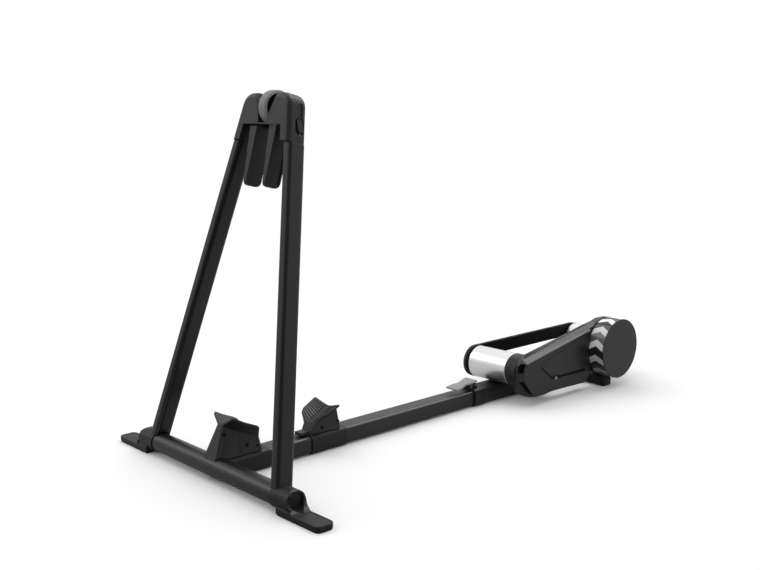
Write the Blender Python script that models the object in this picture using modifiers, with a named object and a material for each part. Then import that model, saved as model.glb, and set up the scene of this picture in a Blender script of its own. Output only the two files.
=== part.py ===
"""Roller trainer for an indoor bike ride.

The front wheel stands between two grooved chocks and is held at its top by two paddles on a folding
A-frame. The rear wheel runs on two belt-linked rollers, and a flywheel with a magnetic brake loads them.
X is across, Y runs back along the rail, Z is up. Every unit is a metre.
"""

import math

import bmesh
import bpy
from mathutils import Matrix

# Places along the trainer are distances behind the crossbar's axis, which lies at this Y, so that the
# origin is under the middle of the footprint.
CROSSBAR_Y = -0.7345

# Clearances
FIT = 0.0003
RUN = 0.0008
HINGE_GAP = 0.0005

# How far a cutter stands out of what it cuts
BEYOND = 0.02

# Sides: the rider faces -Y, so the rider's left is +X
LEFT = 1
RIGHT = -1

# Crossbar and feet
CROSSBAR_RADIUS = 0.024
CROSSBAR_WALL = 0.0025
CROSSBAR_HALF = 0.286
CROSSBAR_Z = 0.031
FOOT_START = 0.2585
FOOT_TIP = 0.3935
FOOT_FRONT = -0.0255
FOOT_BACK = 0.0208
FOOT_TIP_RADIUS = 0.0125
BOSS_RADIUS = 0.0262
BOSS_END = 0.2935
BOSS_SHOULDER = 0.012
PAD_TOP = 0.0148
PAD_RIM = 0.004
PAD_RECESS = 0.0008
FILLET_END = 0.317
SOLE_THICKNESS = 0.004
SOLE_INSET = 0.0015
SCOOP_RADIUS = 0.0195
SCOOP_DEPTH = 0.0045
SCOOP_RISE = 0.003
FOOT_SCREW_RADIUS = 0.0030
FOOT_SCREW_DEPTH = 0.0035
FOOT_SCREW_PLACE = (0.2945, 0.0215)
PAD_BEVEL = 0.0015
BOSS_MARGIN = 0.003

# Rail: a rounded rectangular tube that telescopes into the rear tube
RAIL_HALF_WIDTH = 0.028
RAIL_HALF_HEIGHT = 0.021
RAIL_CORNER = 0.008
RAIL_WALL = 0.0025
RAIL_Z = 0.0252
RAIL_START = 0.036
RAIL_END = 1.100
SLEEVE_WALL = 0.0025
SOCKET_END = 0.136

# Front chock, over the joint of crossbar and rail
FRONT_CHOCK_FACE = -0.0152
FRONT_CHOCK_BACK = 0.1120
FRONT_CHOCK_BASE_FRONT_HALF = 0.0224
FRONT_CHOCK_BASE_BACK_HALF = 0.028
FRONT_CHOCK_NECK_HALF = 0.0092
FRONT_CHOCK_NECK_Z = 0.1242
FRONT_CHOCK_WING_FRONT_HALF = 0.0408
FRONT_CHOCK_WING_BACK_HALF = 0.0475
FRONT_CHOCK_TIP_FRONT_Z = 0.1485
FRONT_CHOCK_TIP_BACK_Z = 0.1165
FRONT_CHOCK_WALL_BACK_Z = 0.086
FRONT_CHOCK_LEAN = 0.42
FRONT_CHOCK_BACK_LEAN = 0.30
FRONT_CHOCK_HOLES = ((0.0180, 0.0144, 0.1061), (0.0245, 0.0714, 0.0678), (0.0265, 0.0985, 0.0641))

# Rear chock, which slides along the rail on its own sleeve
REAR_SLEEVE_START = 0.260
REAR_SLEEVE_END = 0.372
REAR_CHOCK_FRONT = 0.2635
REAR_CHOCK_BACK = 0.3500
REAR_CHOCK_BASE_FRONT_HALF = 0.018
REAR_CHOCK_BASE_BACK_HALF = 0.028
REAR_CHOCK_NECK_Z = 0.0705
REAR_CHOCK_WING_FRONT_HALF = 0.0435
REAR_CHOCK_WING_BACK_HALF = 0.0490
REAR_CHOCK_TIP_FRONT_Z = 0.0975
REAR_CHOCK_TIP_BACK_Z = 0.1190
REAR_CHOCK_WALL_BACK_Z = 0.1020
REAR_CHOCK_LEAN = 0.42
REAR_CHOCK_BACK_LEAN = 0.24
REAR_CHOCK_HOLES = ((0.0225, 0.2938, 0.0617), (0.0270, 0.3350, 0.0690))

# Both chocks: sections from front to back as (share of the length, share of the rounding at the wing tips)
CHOCK_SECTIONS = ((0, 1), (0.05, 0.5), (0.14, 0.1), (0.5, 0), (0.9, 0.05), (0.96, 0.25), (1, 0.6))
WING_ROUND = 0.0065
WING_DROP = 0.6
WING_THICKNESS = 0.0035
WALL_SPREAD = 0.002
GROOVE_HALF = 0.006
CHOCK_HOLE_RADIUS = 0.0021
BUTTON_START = 0.238
BUTTON_HALF_WIDTH = 0.012
BUTTON_HEIGHT = 0.0085
BUTTON_TRAVEL = 0.0025
BUTTON_EDGE = 0.0012

# A-frame, in its own plane: W runs up the frame from the crossbar's axis, V is its depth
LEAN = math.radians(13.0)
LEG_FOOT_X = 0.2441
LEG_SLOPE = 0.2038
LEG_WIDTH = 0.029
LEG_DEPTH = 0.0448
LEG_CORNER = 0.010
LEG_WALL = 0.002
LEG_START_W = 0.005
LEG_TOP_W = 0.7395
COLLAR_START = 0.235
COLLAR_RADIUS = 0.0262
HEAD_FACE_W = LEG_TOP_W + 0.0359
HEAD_TOP_W = HEAD_FACE_W + 0.0746
HEAD_FRONT_V = -0.027
HEAD_BACK_V = 0.0245
HEAD_SIDE_STEP = 0.0020
HEAD_WALL = 0.0035
HEAD_EDGE = 0.0125
HEAD_LOW_EDGE = 0.0015
HEAD_EDGE_STEPS = 4
HEAD_CORNER = 0.034
EAR_DEEPER = 0.003
CAP_LENGTH = 0.041
CAP_WIDTH = 0.0245
CAP_THICKNESS = 0.0022
CAP_SINK = 0.0035
CAP_W = HEAD_FACE_W + 0.0021
CAP_V = 0.0040
GUIDE_LENGTH = 0.034
GUIDE_WIDTH = 0.0110
GUIDE_DEPTH = 0.0025
GUIDE_W = HEAD_TOP_W - 0.0370
GUIDE_V = 0.0048

# Clamp: a thumbwheel on a screw with a left-hand and a right-hand thread, and two paddles
DIAL_W = HEAD_TOP_W - 0.0297
DIAL_V = 0.004
DIAL_RADIUS = 0.0395
DIAL_HALF_WIDTH = 0.012
DIAL_WEB = 0.004
DIAL_RIM = 0.0075
DIAL_HUB = 0.010
SCREW_RADIUS = 0.005
SCREW_HALF = 0.0644
SCREW_RIB_START = 0.0600
SCREW_RIB_HALF = 0.0115
SLOT_GAP = 0.0014
SLOT_MOUTH_HALF = 0.045
SLOT_KNEE_HALF = 0.020
SLOT_KNEE_W = DIAL_W - 0.0173
SCOOP_WALL = 0.0025
SCOOP_BACK_V = -0.0115
PADDLE_X = 0.0355
PADDLE_TOP_HALF = 0.013
PADDLE_TIP_HALF = 0.0042
PADDLE_TIP_W = HEAD_FACE_W - 0.1369
PADDLE_TIP_CORNER = 0.010
PADDLE_BACK_CORNER = 0.014
PADDLE_FRONT_V = -0.0215
PADDLE_BACK_V = 0.0220
PADDLE_RIM = 0.0035
PADDLE_HOLLOW = 0.0030
PADDLE_FOOT_CORNER = 0.002
PADDLE_HEAD_GAP = 0.0005
HANGER_STEP = 0.0015
HANGER_FRONT_V = -0.0095
HANGER_BACK_V = 0.0165
HANGER_INNER = 0.0340
HANGER_TOP_W = DIAL_W + 0.0157
NUT_RADIUS = 0.0092

# Rear tube, clamp and lever
REAR_TUBE_END = 1.290
CLAMP_START = 0.850
CLAMP_END = 0.890
CLAMP_HALF_WIDTH = 0.0336
CLAMP_HALF_HEIGHT = 0.0245
CLAMP_CORNER = 0.010
CLAMP_STEP = 0.0015
LEVER_PIVOT = 0.867
LEVER_PIVOT_Z = 0.0605
LEVER_TIP = 0.7875
LEVER_HALF_WIDTH = 0.0225
LEVER_WAIST = 0.0145
LEVER_THICKNESS = 0.0045
LEVER_CHAMFER = 0.001
LEVER_TIP_Z = 0.0576
LEVER_BACK_Z = 0.0698
LEVER_HUB_HALF = 0.0105
LEVER_HUB_RADIUS = 0.0062
LUG_WIDTH = 0.0055
LUG_HALF_LENGTH = 0.009
LUG_TOP_RADIUS = 0.0052
PIN_RADIUS = 0.0022

# Rollers
FRONT_ROLLER = 0.9774
REAR_ROLLER = 1.4485
ROLLER_Z = 0.0960
ROLLER_RADIUS = 0.046
ROLLER_HALF = 0.0674
ROLLER_WALL = 0.0035
ROLLER_WEB = 0.006
ROLLER_HUB = 0.014
ROLLER_HUB_HALF = 0.050
AXLE_RADIUS = 0.006
BEARING_RADIUS = 0.011
BEARING_WIDTH = 0.0066
SEAT_BORE = BEARING_RADIUS + FIT
AXLE_BORE = AXLE_RADIUS + FIT

# Far side: arm, pulleys and the belt that links the rollers
ARM_INNER = -0.0725
ARM_OUTER = -0.0795
ARM_RADIUS = 0.0467
ARM_SPAN_Z = 0.1045
WINDOW_MARGIN = 0.1276
WINDOW_BACK_MARGIN = 0.0635
LINK_BELT_INNER = -0.0803
LINK_BELT_OUTER = -0.0885
LINK_PULLEY_RADIUS = 0.0425
BELT_THICKNESS = 0.0027

# Near side: drive housing, in an inner and an outer shell. Its outlines are (Y, Z) points from the top
# front corner down round the boss and back along the lower edge, at its back, at the split and at its face
HOUSING_INNER = 0.106
HOUSING_SPLIT = 0.120
HOUSING_BEND = 0.122
HOUSING_FACE = 0.142
HOUSING_WALL = 0.003
BACK_TOP = ((0.9650, 0.1454), (1.2812, 0.1984))
BACK_BOSS = ((0.9450, 0.1345), (0.9360, 0.1150), (0.9340, 0.0900), (0.9330, 0.0680), (0.9310, 0.0465))
BACK_LOW = ((0.9572, 0.0322), (0.9801, 0.0221), (1.0032, 0.0158), (1.0300, 0.0165), (1.0600, 0.0190))
BACK_TAIL = ((1.0720, 0.0190), (1.2200, 0.0175), (1.2460, 0.0440))
SPLIT_TOP = ((0.9453, 0.1380), (1.2532, 0.1976))
SPLIT_BOSS = ((0.9236, 0.1252), (0.9186, 0.1095), (0.9204, 0.0849), (0.9350, 0.0669), (0.9594, 0.0438))
SPLIT_LOW = ((0.9814, 0.0303), (1.0085, 0.0185), (1.0287, 0.0190), (1.0521, 0.0190), (1.0755, 0.0217))
SPLIT_TAIL = ((1.0898, 0.0220), (1.2190, 0.0197), (1.2460, 0.0500))
FACE_TOP = ((0.9414, 0.1292), (1.2192, 0.1789))
FACE_BOSS = ((0.9316, 0.1140), (0.9290, 0.0978), (0.9329, 0.0804), (0.9452, 0.0660), (0.9601, 0.0478))
FACE_LOW = ((0.9823, 0.0296), (1.0024, 0.0282), (1.0255, 0.0272), (1.0486, 0.0310), (1.0628, 0.0306))
FACE_TAIL = ((1.1400, 0.0290), (1.2180, 0.0264), (1.2440, 0.0530))
ROUND_END_RADIUS = 0.0835
ROUND_END_START = -135.0
ROUND_END_STOP = 110.0
COVER_REACH = 1.300
COVER_END = 1.280
COVER_SIDE_END = 1.240
COVER_CAVITY_END = 0.134
COVER_INSET = 0.0055
VENT_START = 0.1245
VENT_END = 0.1385
UPPER_VENT = ((0.900, 0.1050), (0.946, 0.1050), (0.950, 0.1260), (0.938, 0.1295), (0.900, 0.1295))
LOWER_VENT_FRONT = ((0.972, 0.0250), (0.900, 0.0250), (0.900, 0.0800))
LOWER_VENT_BACK = ((0.945, 0.0800), (0.958, 0.0620), (0.984, 0.0440))
COLLAR_RING_START = 0.0682
COLLAR_RING_RADIUS = 0.0462
COLLAR_RING_WALL = 0.0035
COLLAR_WEB_START = 0.0975
TAIL_RADIUS = 0.040
TAIL_BOSS_RADIUS = 0.0385
TAIL_ROOT_RADIUS = 0.060
TAIL_START = 0.0695
TAIL_STEP = 0.0012
RECESS_DEPTH = 0.005
RECESS_FRONT = ((1.0180, 0.1234), (1.0060, 0.1200), (1.0040, 0.1130), (1.0064, 0.1026), (1.0593, 0.0636))
RECESS_ISLAND = ((1.0655, 0.0690), (1.0690, 0.0725), (1.0800, 0.0725), (1.0848, 0.0690), (1.0848, 0.0640))
RECESS_BACK = ((1.2180, 0.0630), (1.2180, 0.1718))
PANEL_THICKNESS = 0.0042
PANEL_FRONT = ((1.0190, 0.1224), (1.0070, 0.1188), (1.0055, 0.1130), (1.0100, 0.1074), (1.0590, 0.0716))
PANEL_BACK = ((1.0650, 0.0748), (1.0840, 0.0748), (1.0880, 0.0712), (1.2165, 0.0712), (1.2165, 0.1701))
SCREW_PLACE = (1.0752, 0.0658)
HOUSING_SCREW_RADIUS = 0.0042
SCREW_WELL_DEPTH = 0.0025
SCREW_HEAD_HEIGHT = 0.0032

# Drive belt and flywheel
FLYWHEEL = 1.323
FLYWHEEL_Z = 0.1219
FLYWHEEL_RADIUS = 0.0876
FLYWHEEL_INNER = 0.137
FLYWHEEL_OUTER = 0.1893
FLYWHEEL_RIM = 0.0148
FLYWHEEL_WEB = 0.0125
FLYWHEEL_HUB = 0.016
FACE_THICKNESS = 0.0027
FACE_RADIUS = 0.0893
SHROUD_RADIUS = 0.0882
SHROUD_RING_WALL = 0.0065
SHROUD_FACE = 0.135
SHROUD_WALL = 0.0035
SHAFT_RADIUS = 0.008
SHAFT_BEARING_RADIUS = 0.014
SHAFT_PULLEY_RADIUS = 0.0125
DRIVE_PULLEY_RADIUS = 0.035
DRIVE_BELT_START = 0.1110
DRIVE_BELT_END = 0.1180
PULLEY_MARGIN = 0.0005
COIL_RADIUS = 0.070
COIL_BORE = 0.022
COIL_END = 0.168

# Cross-members that carry the roller unit
CRADLE_START = 1.036
CRADLE_END = 1.094
CRADLE_THICKNESS = 0.008
CRADLE_FLANGE = 0.005
CRADLE_FLANGE_TOP = 0.086
REAR_FOOT_START = 1.300
REAR_FOOT_END = 1.335
REAR_FOOT_HALF = 0.155
REAR_FOOT_TOP = 0.030
REAR_FOOT_LEG = 0.067
REAR_FOOT_BRIDGE = 0.014
REAR_FOOT_CHAMFER = 0.008
REAR_PAD_THICKNESS = 0.003
REAR_PAD_LENGTH = 0.028
REAR_PAD_INSET = 0.003
BEAM_LOW = 0.008
BEAM_HIGH = 0.026
NEAR_BEAM = (0.072, 0.102)
FAR_BEAM_INNER = -0.066
UPRIGHT_LENGTH = 0.045
UPRIGHT_MARGIN = 0.010

# Electronics
BOARD_THICKNESS = 0.0016
BOARD_CORNERS = ((1.050, 0.088), (1.165, 0.130))
SOCKET_RADIUS = 0.0085
SOCKET_BORE = 0.003
SOCKET_LENGTH = 0.011
SOCKET_PLACE = (1.205, 0.118)

ROUND_STEPS = 48
SMALL_STEPS = 24
CORNER_STEPS = 4

# Looks: colour, roughness, metallic
LOOKS = {
    "satin_black_tube": ((0.028, 0.028, 0.030), 0.42, 0.0),
    "black_casting": ((0.022, 0.022, 0.024), 0.50, 0.0),
    "moulded_black": ((0.020, 0.020, 0.021), 0.55, 0.0),
    "deep_black": ((0.008, 0.008, 0.009), 0.60, 0.0),
    "charcoal_plastic": ((0.045, 0.045, 0.048), 0.48, 0.0),
    "grey_plastic": ((0.17, 0.17, 0.18), 0.45, 0.0),
    "silver_lever": ((0.38, 0.39, 0.40), 0.38, 0.0),
    "rubber": ((0.012, 0.012, 0.012), 0.85, 0.0),
    "ribbed_belt": ((0.10, 0.10, 0.10), 0.70, 0.0),
    "anodised_silver": ((0.78, 0.79, 0.80), 0.38, 1.0),
    "steel": ((0.55, 0.56, 0.57), 0.30, 1.0),
    "brass": ((0.60, 0.45, 0.20), 0.35, 1.0),
    "copper": ((0.55, 0.24, 0.12), 0.40, 1.0),
    "banded_rim": ((0.30, 0.30, 0.30), 0.55, 0.0),
    "charcoal_face": ((0.040, 0.040, 0.042), 0.45, 0.0),
    "board_green": ((0.02, 0.12, 0.05), 0.50, 0.0),
}

AXIS_TURN = {
    "X": Matrix(((0, 0, 1), (1, 0, 0), (0, 1, 0))),
    "Y": Matrix(((1, 0, 0), (0, 0, -1), (0, 1, 0))),
    "Z": Matrix.Identity(3),
}
AXIS_WAY = {"X": (1, 0, 0), "Y": (0, 1, 0), "Z": (0, 0, 1)}


def clear_scene():
    for old in list(bpy.data.objects):
        bpy.data.objects.remove(old, do_unlink=True)


def new_collection(name):
    group = bpy.data.collections.new(name)
    bpy.context.scene.collection.children.link(group)
    return group


clear_scene()
PARTS = new_collection("roller_trainer")
CUTTERS = new_collection("cutters")


def pivot(name, parent, location, rotation=(0, 0, 0)):
    """An empty on a joint's axis, which carries the pieces that move with it."""
    empty = bpy.data.objects.new(name, None)
    PARTS.objects.link(empty)
    empty.parent = parent
    empty.location = location
    empty.rotation_euler = rotation
    return empty


def finish(piece, look, body):
    """Gives a piece its own material and hangs it on its body's empty."""
    colour, roughness, metallic = LOOKS[look]
    material = bpy.data.materials.new(f"{piece.name}_{look}")
    material.use_nodes = True
    shader = material.node_tree.nodes["Principled BSDF"]
    shader.inputs["Base Color"].default_value = (*colour, 1)
    shader.inputs["Roughness"].default_value = roughness
    shader.inputs["Metallic"].default_value = metallic
    piece.data.materials.append(material)
    piece.parent = body
    return piece


def combine(piece, other, operation):
    """Joins to a piece, or cuts out of it, another solid in the same frame, whose faces are shaded flat."""
    PARTS.objects.unlink(other)
    CUTTERS.objects.link(other)
    other.hide_render = True
    other.display_type = "WIRE"
    other.parent = piece.parent
    if operation != "UNION":
        other.data.shade_flat()
    step = piece.modifiers.new(f"{operation.lower()}_{other.name}", "BOOLEAN")
    step.operation = operation
    step.solver = "EXACT"
    step.object = other
    return piece


def cut(piece, *others):
    for other in others:
        combine(piece, other, "DIFFERENCE")
    return piece


def join(piece, *others):
    for other in others:
        combine(piece, other, "UNION")
    return piece


def keep_common(piece, *others):
    for other in others:
        combine(piece, other, "INTERSECT")
    return piece


def add_solid(name, mesh, location=(0, 0, 0)):
    piece = bpy.data.objects.new(name, mesh)
    PARTS.objects.link(piece)
    piece.location = location
    return piece


def shade_round(mesh):
    mesh.shade_smooth()
    mesh.set_sharp_from_angle(angle=math.radians(35))


def block(name, low, high):
    """A box between its lowest and highest corners."""
    mesh = bpy.data.meshes.new(name)
    work = bmesh.new()
    bmesh.ops.create_cube(work, size=1)
    bmesh.ops.scale(work, verts=work.verts, vec=[b - a for a, b in zip(low, high)])
    work.to_mesh(mesh)
    work.free()
    return add_solid(name, mesh, [(a + b) / 2 for a, b in zip(low, high)])


def rod(name, radius, start, end, centre=(0, 0), steps=SMALL_STEPS):
    """A round bar along X, with its centre at a (Y, Z) place."""
    mesh = bpy.data.meshes.new(name)
    work = bmesh.new()
    bmesh.ops.create_cone(
        work, cap_ends=True, segments=steps, radius1=radius, radius2=radius, depth=abs(end - start)
    )
    bmesh.ops.rotate(work, verts=work.verts, matrix=Matrix.Rotation(math.pi / 2, 3, "Y"))
    work.to_mesh(mesh)
    work.free()
    shade_round(mesh)
    return add_solid(name, mesh, ((start + end) / 2, *centre))


def turned(name, profile, centre=(0, 0), steps=ROUND_STEPS):
    """A ring turned about X. Its (x, radius) profile runs from +X along the outside, then back inside."""
    mesh = bpy.data.meshes.new(name)
    points = [(radius, 0, along) for along, radius in profile]
    edges = [(i, (i + 1) % len(points)) for i in range(len(points))]
    mesh.from_pydata(points, edges, [])
    piece = add_solid(name, mesh, (0, *centre))
    piece.rotation_euler = (0, math.pi / 2, 0)
    screw = piece.modifiers.new("turn", "SCREW")
    screw.axis = "Z"
    screw.steps = steps
    screw.render_steps = steps
    screw.use_smooth_shade = True
    screw.use_merge_vertices = True
    screw.merge_threshold = 0.00001
    return piece


def prism(name, axis, start, end, *outlines):
    """A flat outline, with any holes after it, drawn out along an axis from start to end."""
    curve = bpy.data.curves.new(name, "CURVE")
    curve.dimensions = "2D"
    curve.fill_mode = "BOTH"
    curve.extrude = (end - start) / 2
    for outline in outlines:
        spline = curve.splines.new("POLY")
        spline.points.add(len(outline) - 1)
        for point, (across, up) in zip(spline.points, outline):
            point.co = (across, up, 0, 1)
        spline.use_cyclic_u = True
    guide = bpy.data.objects.new(name, curve)
    PARTS.objects.link(guide)
    bpy.context.view_layer.update()
    graph = bpy.context.evaluated_depsgraph_get()
    mesh = bpy.data.meshes.new_from_object(guide.evaluated_get(graph))
    bpy.data.objects.remove(guide)
    work = bmesh.new()
    work.from_mesh(mesh)
    bmesh.ops.remove_doubles(work, verts=work.verts, dist=0.000005)
    if len(outlines) == 1:
        bmesh.ops.dissolve_limit(work, angle_limit=0.002, verts=work.verts, edges=work.edges)
    bmesh.ops.recalc_face_normals(work, faces=work.faces)
    bmesh.ops.rotate(work, verts=work.verts, matrix=AXIS_TURN[axis])
    work.to_mesh(mesh)
    work.free()
    shade_round(mesh)
    mesh.name = name
    middle = (start + end) / 2
    return add_solid(name, mesh, [way * middle for way in AXIS_WAY[axis]])


def loft(name, rings, closed=False, faceted=False):
    """A skin over rings of the same number of points, capped, or closed round like a tube's wall."""
    mesh = bpy.data.meshes.new(name)
    work = bmesh.new()
    loops = [[work.verts.new(point) for point in ring] for ring in rings]
    pairs = list(zip(loops, loops[1:]))
    if closed:
        pairs.append((loops[-1], loops[0]))
    for one, two in pairs:
        for i in range(len(one)):
            k = (i + 1) % len(one)
            work.faces.new((one[i], one[k], two[k], two[i]))
    if not closed:
        work.faces.new(list(reversed(loops[0])))
        work.faces.new(loops[-1])
    work.normal_update()
    bmesh.ops.triangulate(work, faces=work.faces)
    bmesh.ops.recalc_face_normals(work, faces=work.faces)
    work.to_mesh(mesh)
    work.free()
    if not faceted:
        shade_round(mesh)
    return add_solid(name, mesh)


def arc(centre, radius, start, end, steps):
    """Points of a circle from one angle to another, in degrees, counted from the first axis."""
    angles = [math.radians(start + (end - start) * i / steps) for i in range(steps + 1)]
    return [(centre[0] + radius * math.cos(a), centre[1] + radius * math.sin(a)) for a in angles]


def rounded_box(half_width, half_height, corner, centre=(0, 0)):
    """A rectangle's outline with round corners."""
    points = []
    for side, up, start in ((1, 1, 0), (-1, 1, 90), (-1, -1, 180), (1, -1, 270)):
        middle = (centre[0] + side * (half_width - corner), centre[1] + up * (half_height - corner))
        points += arc(middle, corner, start, start + 90, CORNER_STEPS)
    return points


def belt_line(first, first_radius, second, second_radius, steps=28):
    """The outline of a band stretched round two circles, the first in front of the second."""
    span = math.dist(first, second)
    tilt = math.degrees(math.atan2(second[1] - first[1], second[0] - first[0]))
    swing = math.degrees(math.asin((first_radius - second_radius) / span))
    half = 90 - swing
    front = arc(first, first_radius, tilt + half, tilt + 360 - half, steps)
    return front + arc(second, second_radius, tilt - half, tilt + half, steps)


def soften(piece, width, segments=2):
    """Rounds a piece's sharp edges."""
    bevel = piece.modifiers.new("edges", "BEVEL")
    bevel.width = width
    bevel.segments = segments
    bevel.limit_method = "ANGLE"
    bevel.angle_limit = math.radians(40)
    return piece


def side_name(side):
    return "left" if side == LEFT else "right"


# The empties that carry the bodies
TRAINER = pivot("trainer", None, (0, CROSSBAR_Y, 0))
A_FRAME_HINGE = pivot("a_frame_hinge", TRAINER, (0, 0, CROSSBAR_Z), (-LEAN, 0, 0))
DIAL_AXIS = pivot("dial_axis", A_FRAME_HINGE, (0, DIAL_V, DIAL_W))
CLAMP_SLIDE = {
    side: pivot(f"{side_name(side)}_clamp_slide", A_FRAME_HINGE, (0, 0, 0)) for side in (LEFT, RIGHT)
}
REAR_CHOCK_SLIDE = pivot("rear_chock_slide", TRAINER, (0, 0, 0))
BUTTON_SLIDE = pivot("button_slide", REAR_CHOCK_SLIDE, (0, 0, 0))
REAR_UNIT_SLIDE = pivot("rear_unit_slide", TRAINER, (0, 0, 0))
LEVER_AXIS = pivot("lever_axis", REAR_UNIT_SLIDE, (0, LEVER_PIVOT, LEVER_PIVOT_Z))
FRONT_ROLLER_AXIS = pivot("front_roller_axis", REAR_UNIT_SLIDE, (0, FRONT_ROLLER, ROLLER_Z))
REAR_ROLLER_AXIS = pivot("rear_roller_axis", REAR_UNIT_SLIDE, (0, REAR_ROLLER, ROLLER_Z))
FLYWHEEL_AXIS = pivot("flywheel_axis", REAR_UNIT_SLIDE, (0, FLYWHEEL, FLYWHEEL_Z))

# Sizes that follow from the ones above
RAIL_CENTRE = (0, RAIL_Z)
SLEEVE_BORE = (RAIL_HALF_WIDTH + FIT, RAIL_HALF_HEIGHT + FIT, RAIL_CORNER + FIT)
SLEEVE_SIZE = tuple(size + SLEEVE_WALL for size in SLEEVE_BORE)
SLEEVE_TOP = RAIL_Z + SLEEVE_SIZE[1]
RAIL_TOP = RAIL_Z + RAIL_HALF_HEIGHT
CHOCK_BASE_Z = SLEEVE_TOP + FIT
COLLAR_END = FOOT_START - FIT
LEG_HALF_SPAN = LEG_WIDTH / 2 / math.cos(math.atan(LEG_SLOPE))
PADDLE_CAVITY_HALF = 0.066
FRONT_AXLE = (FRONT_ROLLER, ROLLER_Z)
REAR_AXLE = (REAR_ROLLER, ROLLER_Z)
FLYWHEEL_PLACE = (FLYWHEEL, FLYWHEEL_Z)


def make_crossbar():
    inner = CROSSBAR_RADIUS - CROSSBAR_WALL
    profile = [
        (CROSSBAR_HALF, CROSSBAR_RADIUS),
        (-CROSSBAR_HALF, CROSSBAR_RADIUS),
        (-CROSSBAR_HALF, inner),
        (CROSSBAR_HALF, inner),
    ]
    finish(turned("crossbar", profile, (0, CROSSBAR_Z)), "satin_black_tube", TRAINER)


def make_rail():
    outer = rounded_box(RAIL_HALF_WIDTH, RAIL_HALF_HEIGHT, RAIL_CORNER, RAIL_CENTRE)
    bore = rounded_box(
        RAIL_HALF_WIDTH - RAIL_WALL, RAIL_HALF_HEIGHT - RAIL_WALL, RAIL_CORNER - RAIL_WALL, RAIL_CENTRE
    )
    rail = prism("rail_tube", "Y", RAIL_START, RAIL_END, outer, bore)
    finish(rail, "satin_black_tube", TRAINER)


def make_rail_socket():
    """The casting behind the crossbar: coped to the round bar, with the rail in its mouth."""
    socket = prism("rail_socket", "Y", 0, SOCKET_END, rounded_box(*SLEEVE_SIZE, RAIL_CENTRE))
    finish(socket, "black_casting", TRAINER)
    cope = rod("socket_cope", CROSSBAR_RADIUS + FIT, -0.05, 0.05, (0, CROSSBAR_Z), ROUND_STEPS)
    bore = rounded_box(*SLEEVE_BORE, RAIL_CENTRE)
    mouth = prism("socket_mouth", "Y", RAIL_START - FIT, SOCKET_END + 0.01, bore)
    cut(socket, cope, mouth)


def chock_rings(front, back):
    """Sections of a chock: a pedestal with a grooved top, whose wings have round tips.

    The front and the back are each half widths and heights of base, wall and wing tip, a Y and a lean.
    """
    rings = []
    for share, rounding in CHOCK_SECTIONS:
        section = [one + (other - one) * share for one, other in zip(front, back)]
        base_half, wall_half, wall_z, tip_half, tip_z, base_y, lean = section
        tip_half -= WING_ROUND * rounding
        tip_z -= WING_ROUND * rounding * WING_DROP
        right = [
            (base_half, CHOCK_BASE_Z),
            (wall_half, wall_z),
            (tip_half, tip_z - WING_THICKNESS),
            (tip_half - WING_THICKNESS / 3, tip_z),
            (GROOVE_HALF, wall_z + WING_THICKNESS),
        ]
        outline = right + [(-x, z) for x, z in reversed(right)]
        rings.append([(x, base_y + lean * (z - CHOCK_BASE_Z), z) for x, z in outline])
    return rings


def drill_side(chock, places):
    """Blind holes in a chock's left wall, each at the depth of its bottom and a (Y, Z) place."""
    for number, (depth_x, y, z) in enumerate(places, 1):
        cut(chock, rod(f"{chock.name}_hole_{number}", CHOCK_HOLE_RADIUS, depth_x, depth_x + 0.03, (y, z), 12))


def make_front_chock():
    front = (
        FRONT_CHOCK_BASE_FRONT_HALF,
        FRONT_CHOCK_NECK_HALF,
        FRONT_CHOCK_NECK_Z,
        FRONT_CHOCK_WING_FRONT_HALF,
        FRONT_CHOCK_TIP_FRONT_Z,
        FRONT_CHOCK_FACE,
        FRONT_CHOCK_LEAN,
    )
    back = (
        FRONT_CHOCK_BASE_BACK_HALF,
        FRONT_CHOCK_BASE_BACK_HALF + WALL_SPREAD,
        FRONT_CHOCK_WALL_BACK_Z,
        FRONT_CHOCK_WING_BACK_HALF,
        FRONT_CHOCK_TIP_BACK_Z,
        FRONT_CHOCK_BACK,
        -FRONT_CHOCK_BACK_LEAN,
    )
    chock = finish(loft("front_chock", chock_rings(front, back)), "moulded_black", TRAINER)
    saddle = rod("chock_saddle", CROSSBAR_RADIUS + FIT, -0.06, 0.06, (0, CROSSBAR_Z), ROUND_STEPS)
    cut(chock, saddle)
    drill_side(chock, FRONT_CHOCK_HOLES)


def make_rear_chock():
    outer = rounded_box(*SLEEVE_SIZE, RAIL_CENTRE)
    bore = rounded_box(*SLEEVE_BORE, RAIL_CENTRE)
    sleeve = prism("rear_chock_sleeve", "Y", REAR_SLEEVE_START, REAR_SLEEVE_END, outer, bore)
    finish(sleeve, "black_casting", REAR_CHOCK_SLIDE)
    front = (
        REAR_CHOCK_BASE_FRONT_HALF,
        REAR_CHOCK_BASE_FRONT_HALF,
        REAR_CHOCK_NECK_Z,
        REAR_CHOCK_WING_FRONT_HALF,
        REAR_CHOCK_TIP_FRONT_Z,
        REAR_CHOCK_FRONT,
        REAR_CHOCK_LEAN,
    )
    back = (
        REAR_CHOCK_BASE_BACK_HALF,
        REAR_CHOCK_BASE_BACK_HALF + WALL_SPREAD,
        REAR_CHOCK_WALL_BACK_Z,
        REAR_CHOCK_WING_BACK_HALF,
        REAR_CHOCK_TIP_BACK_Z,
        REAR_CHOCK_BACK,
        -REAR_CHOCK_BACK_LEAN,
    )
    chock = finish(loft("rear_chock", chock_rings(front, back)), "moulded_black", REAR_CHOCK_SLIDE)
    drill_side(chock, REAR_CHOCK_HOLES)


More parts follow.
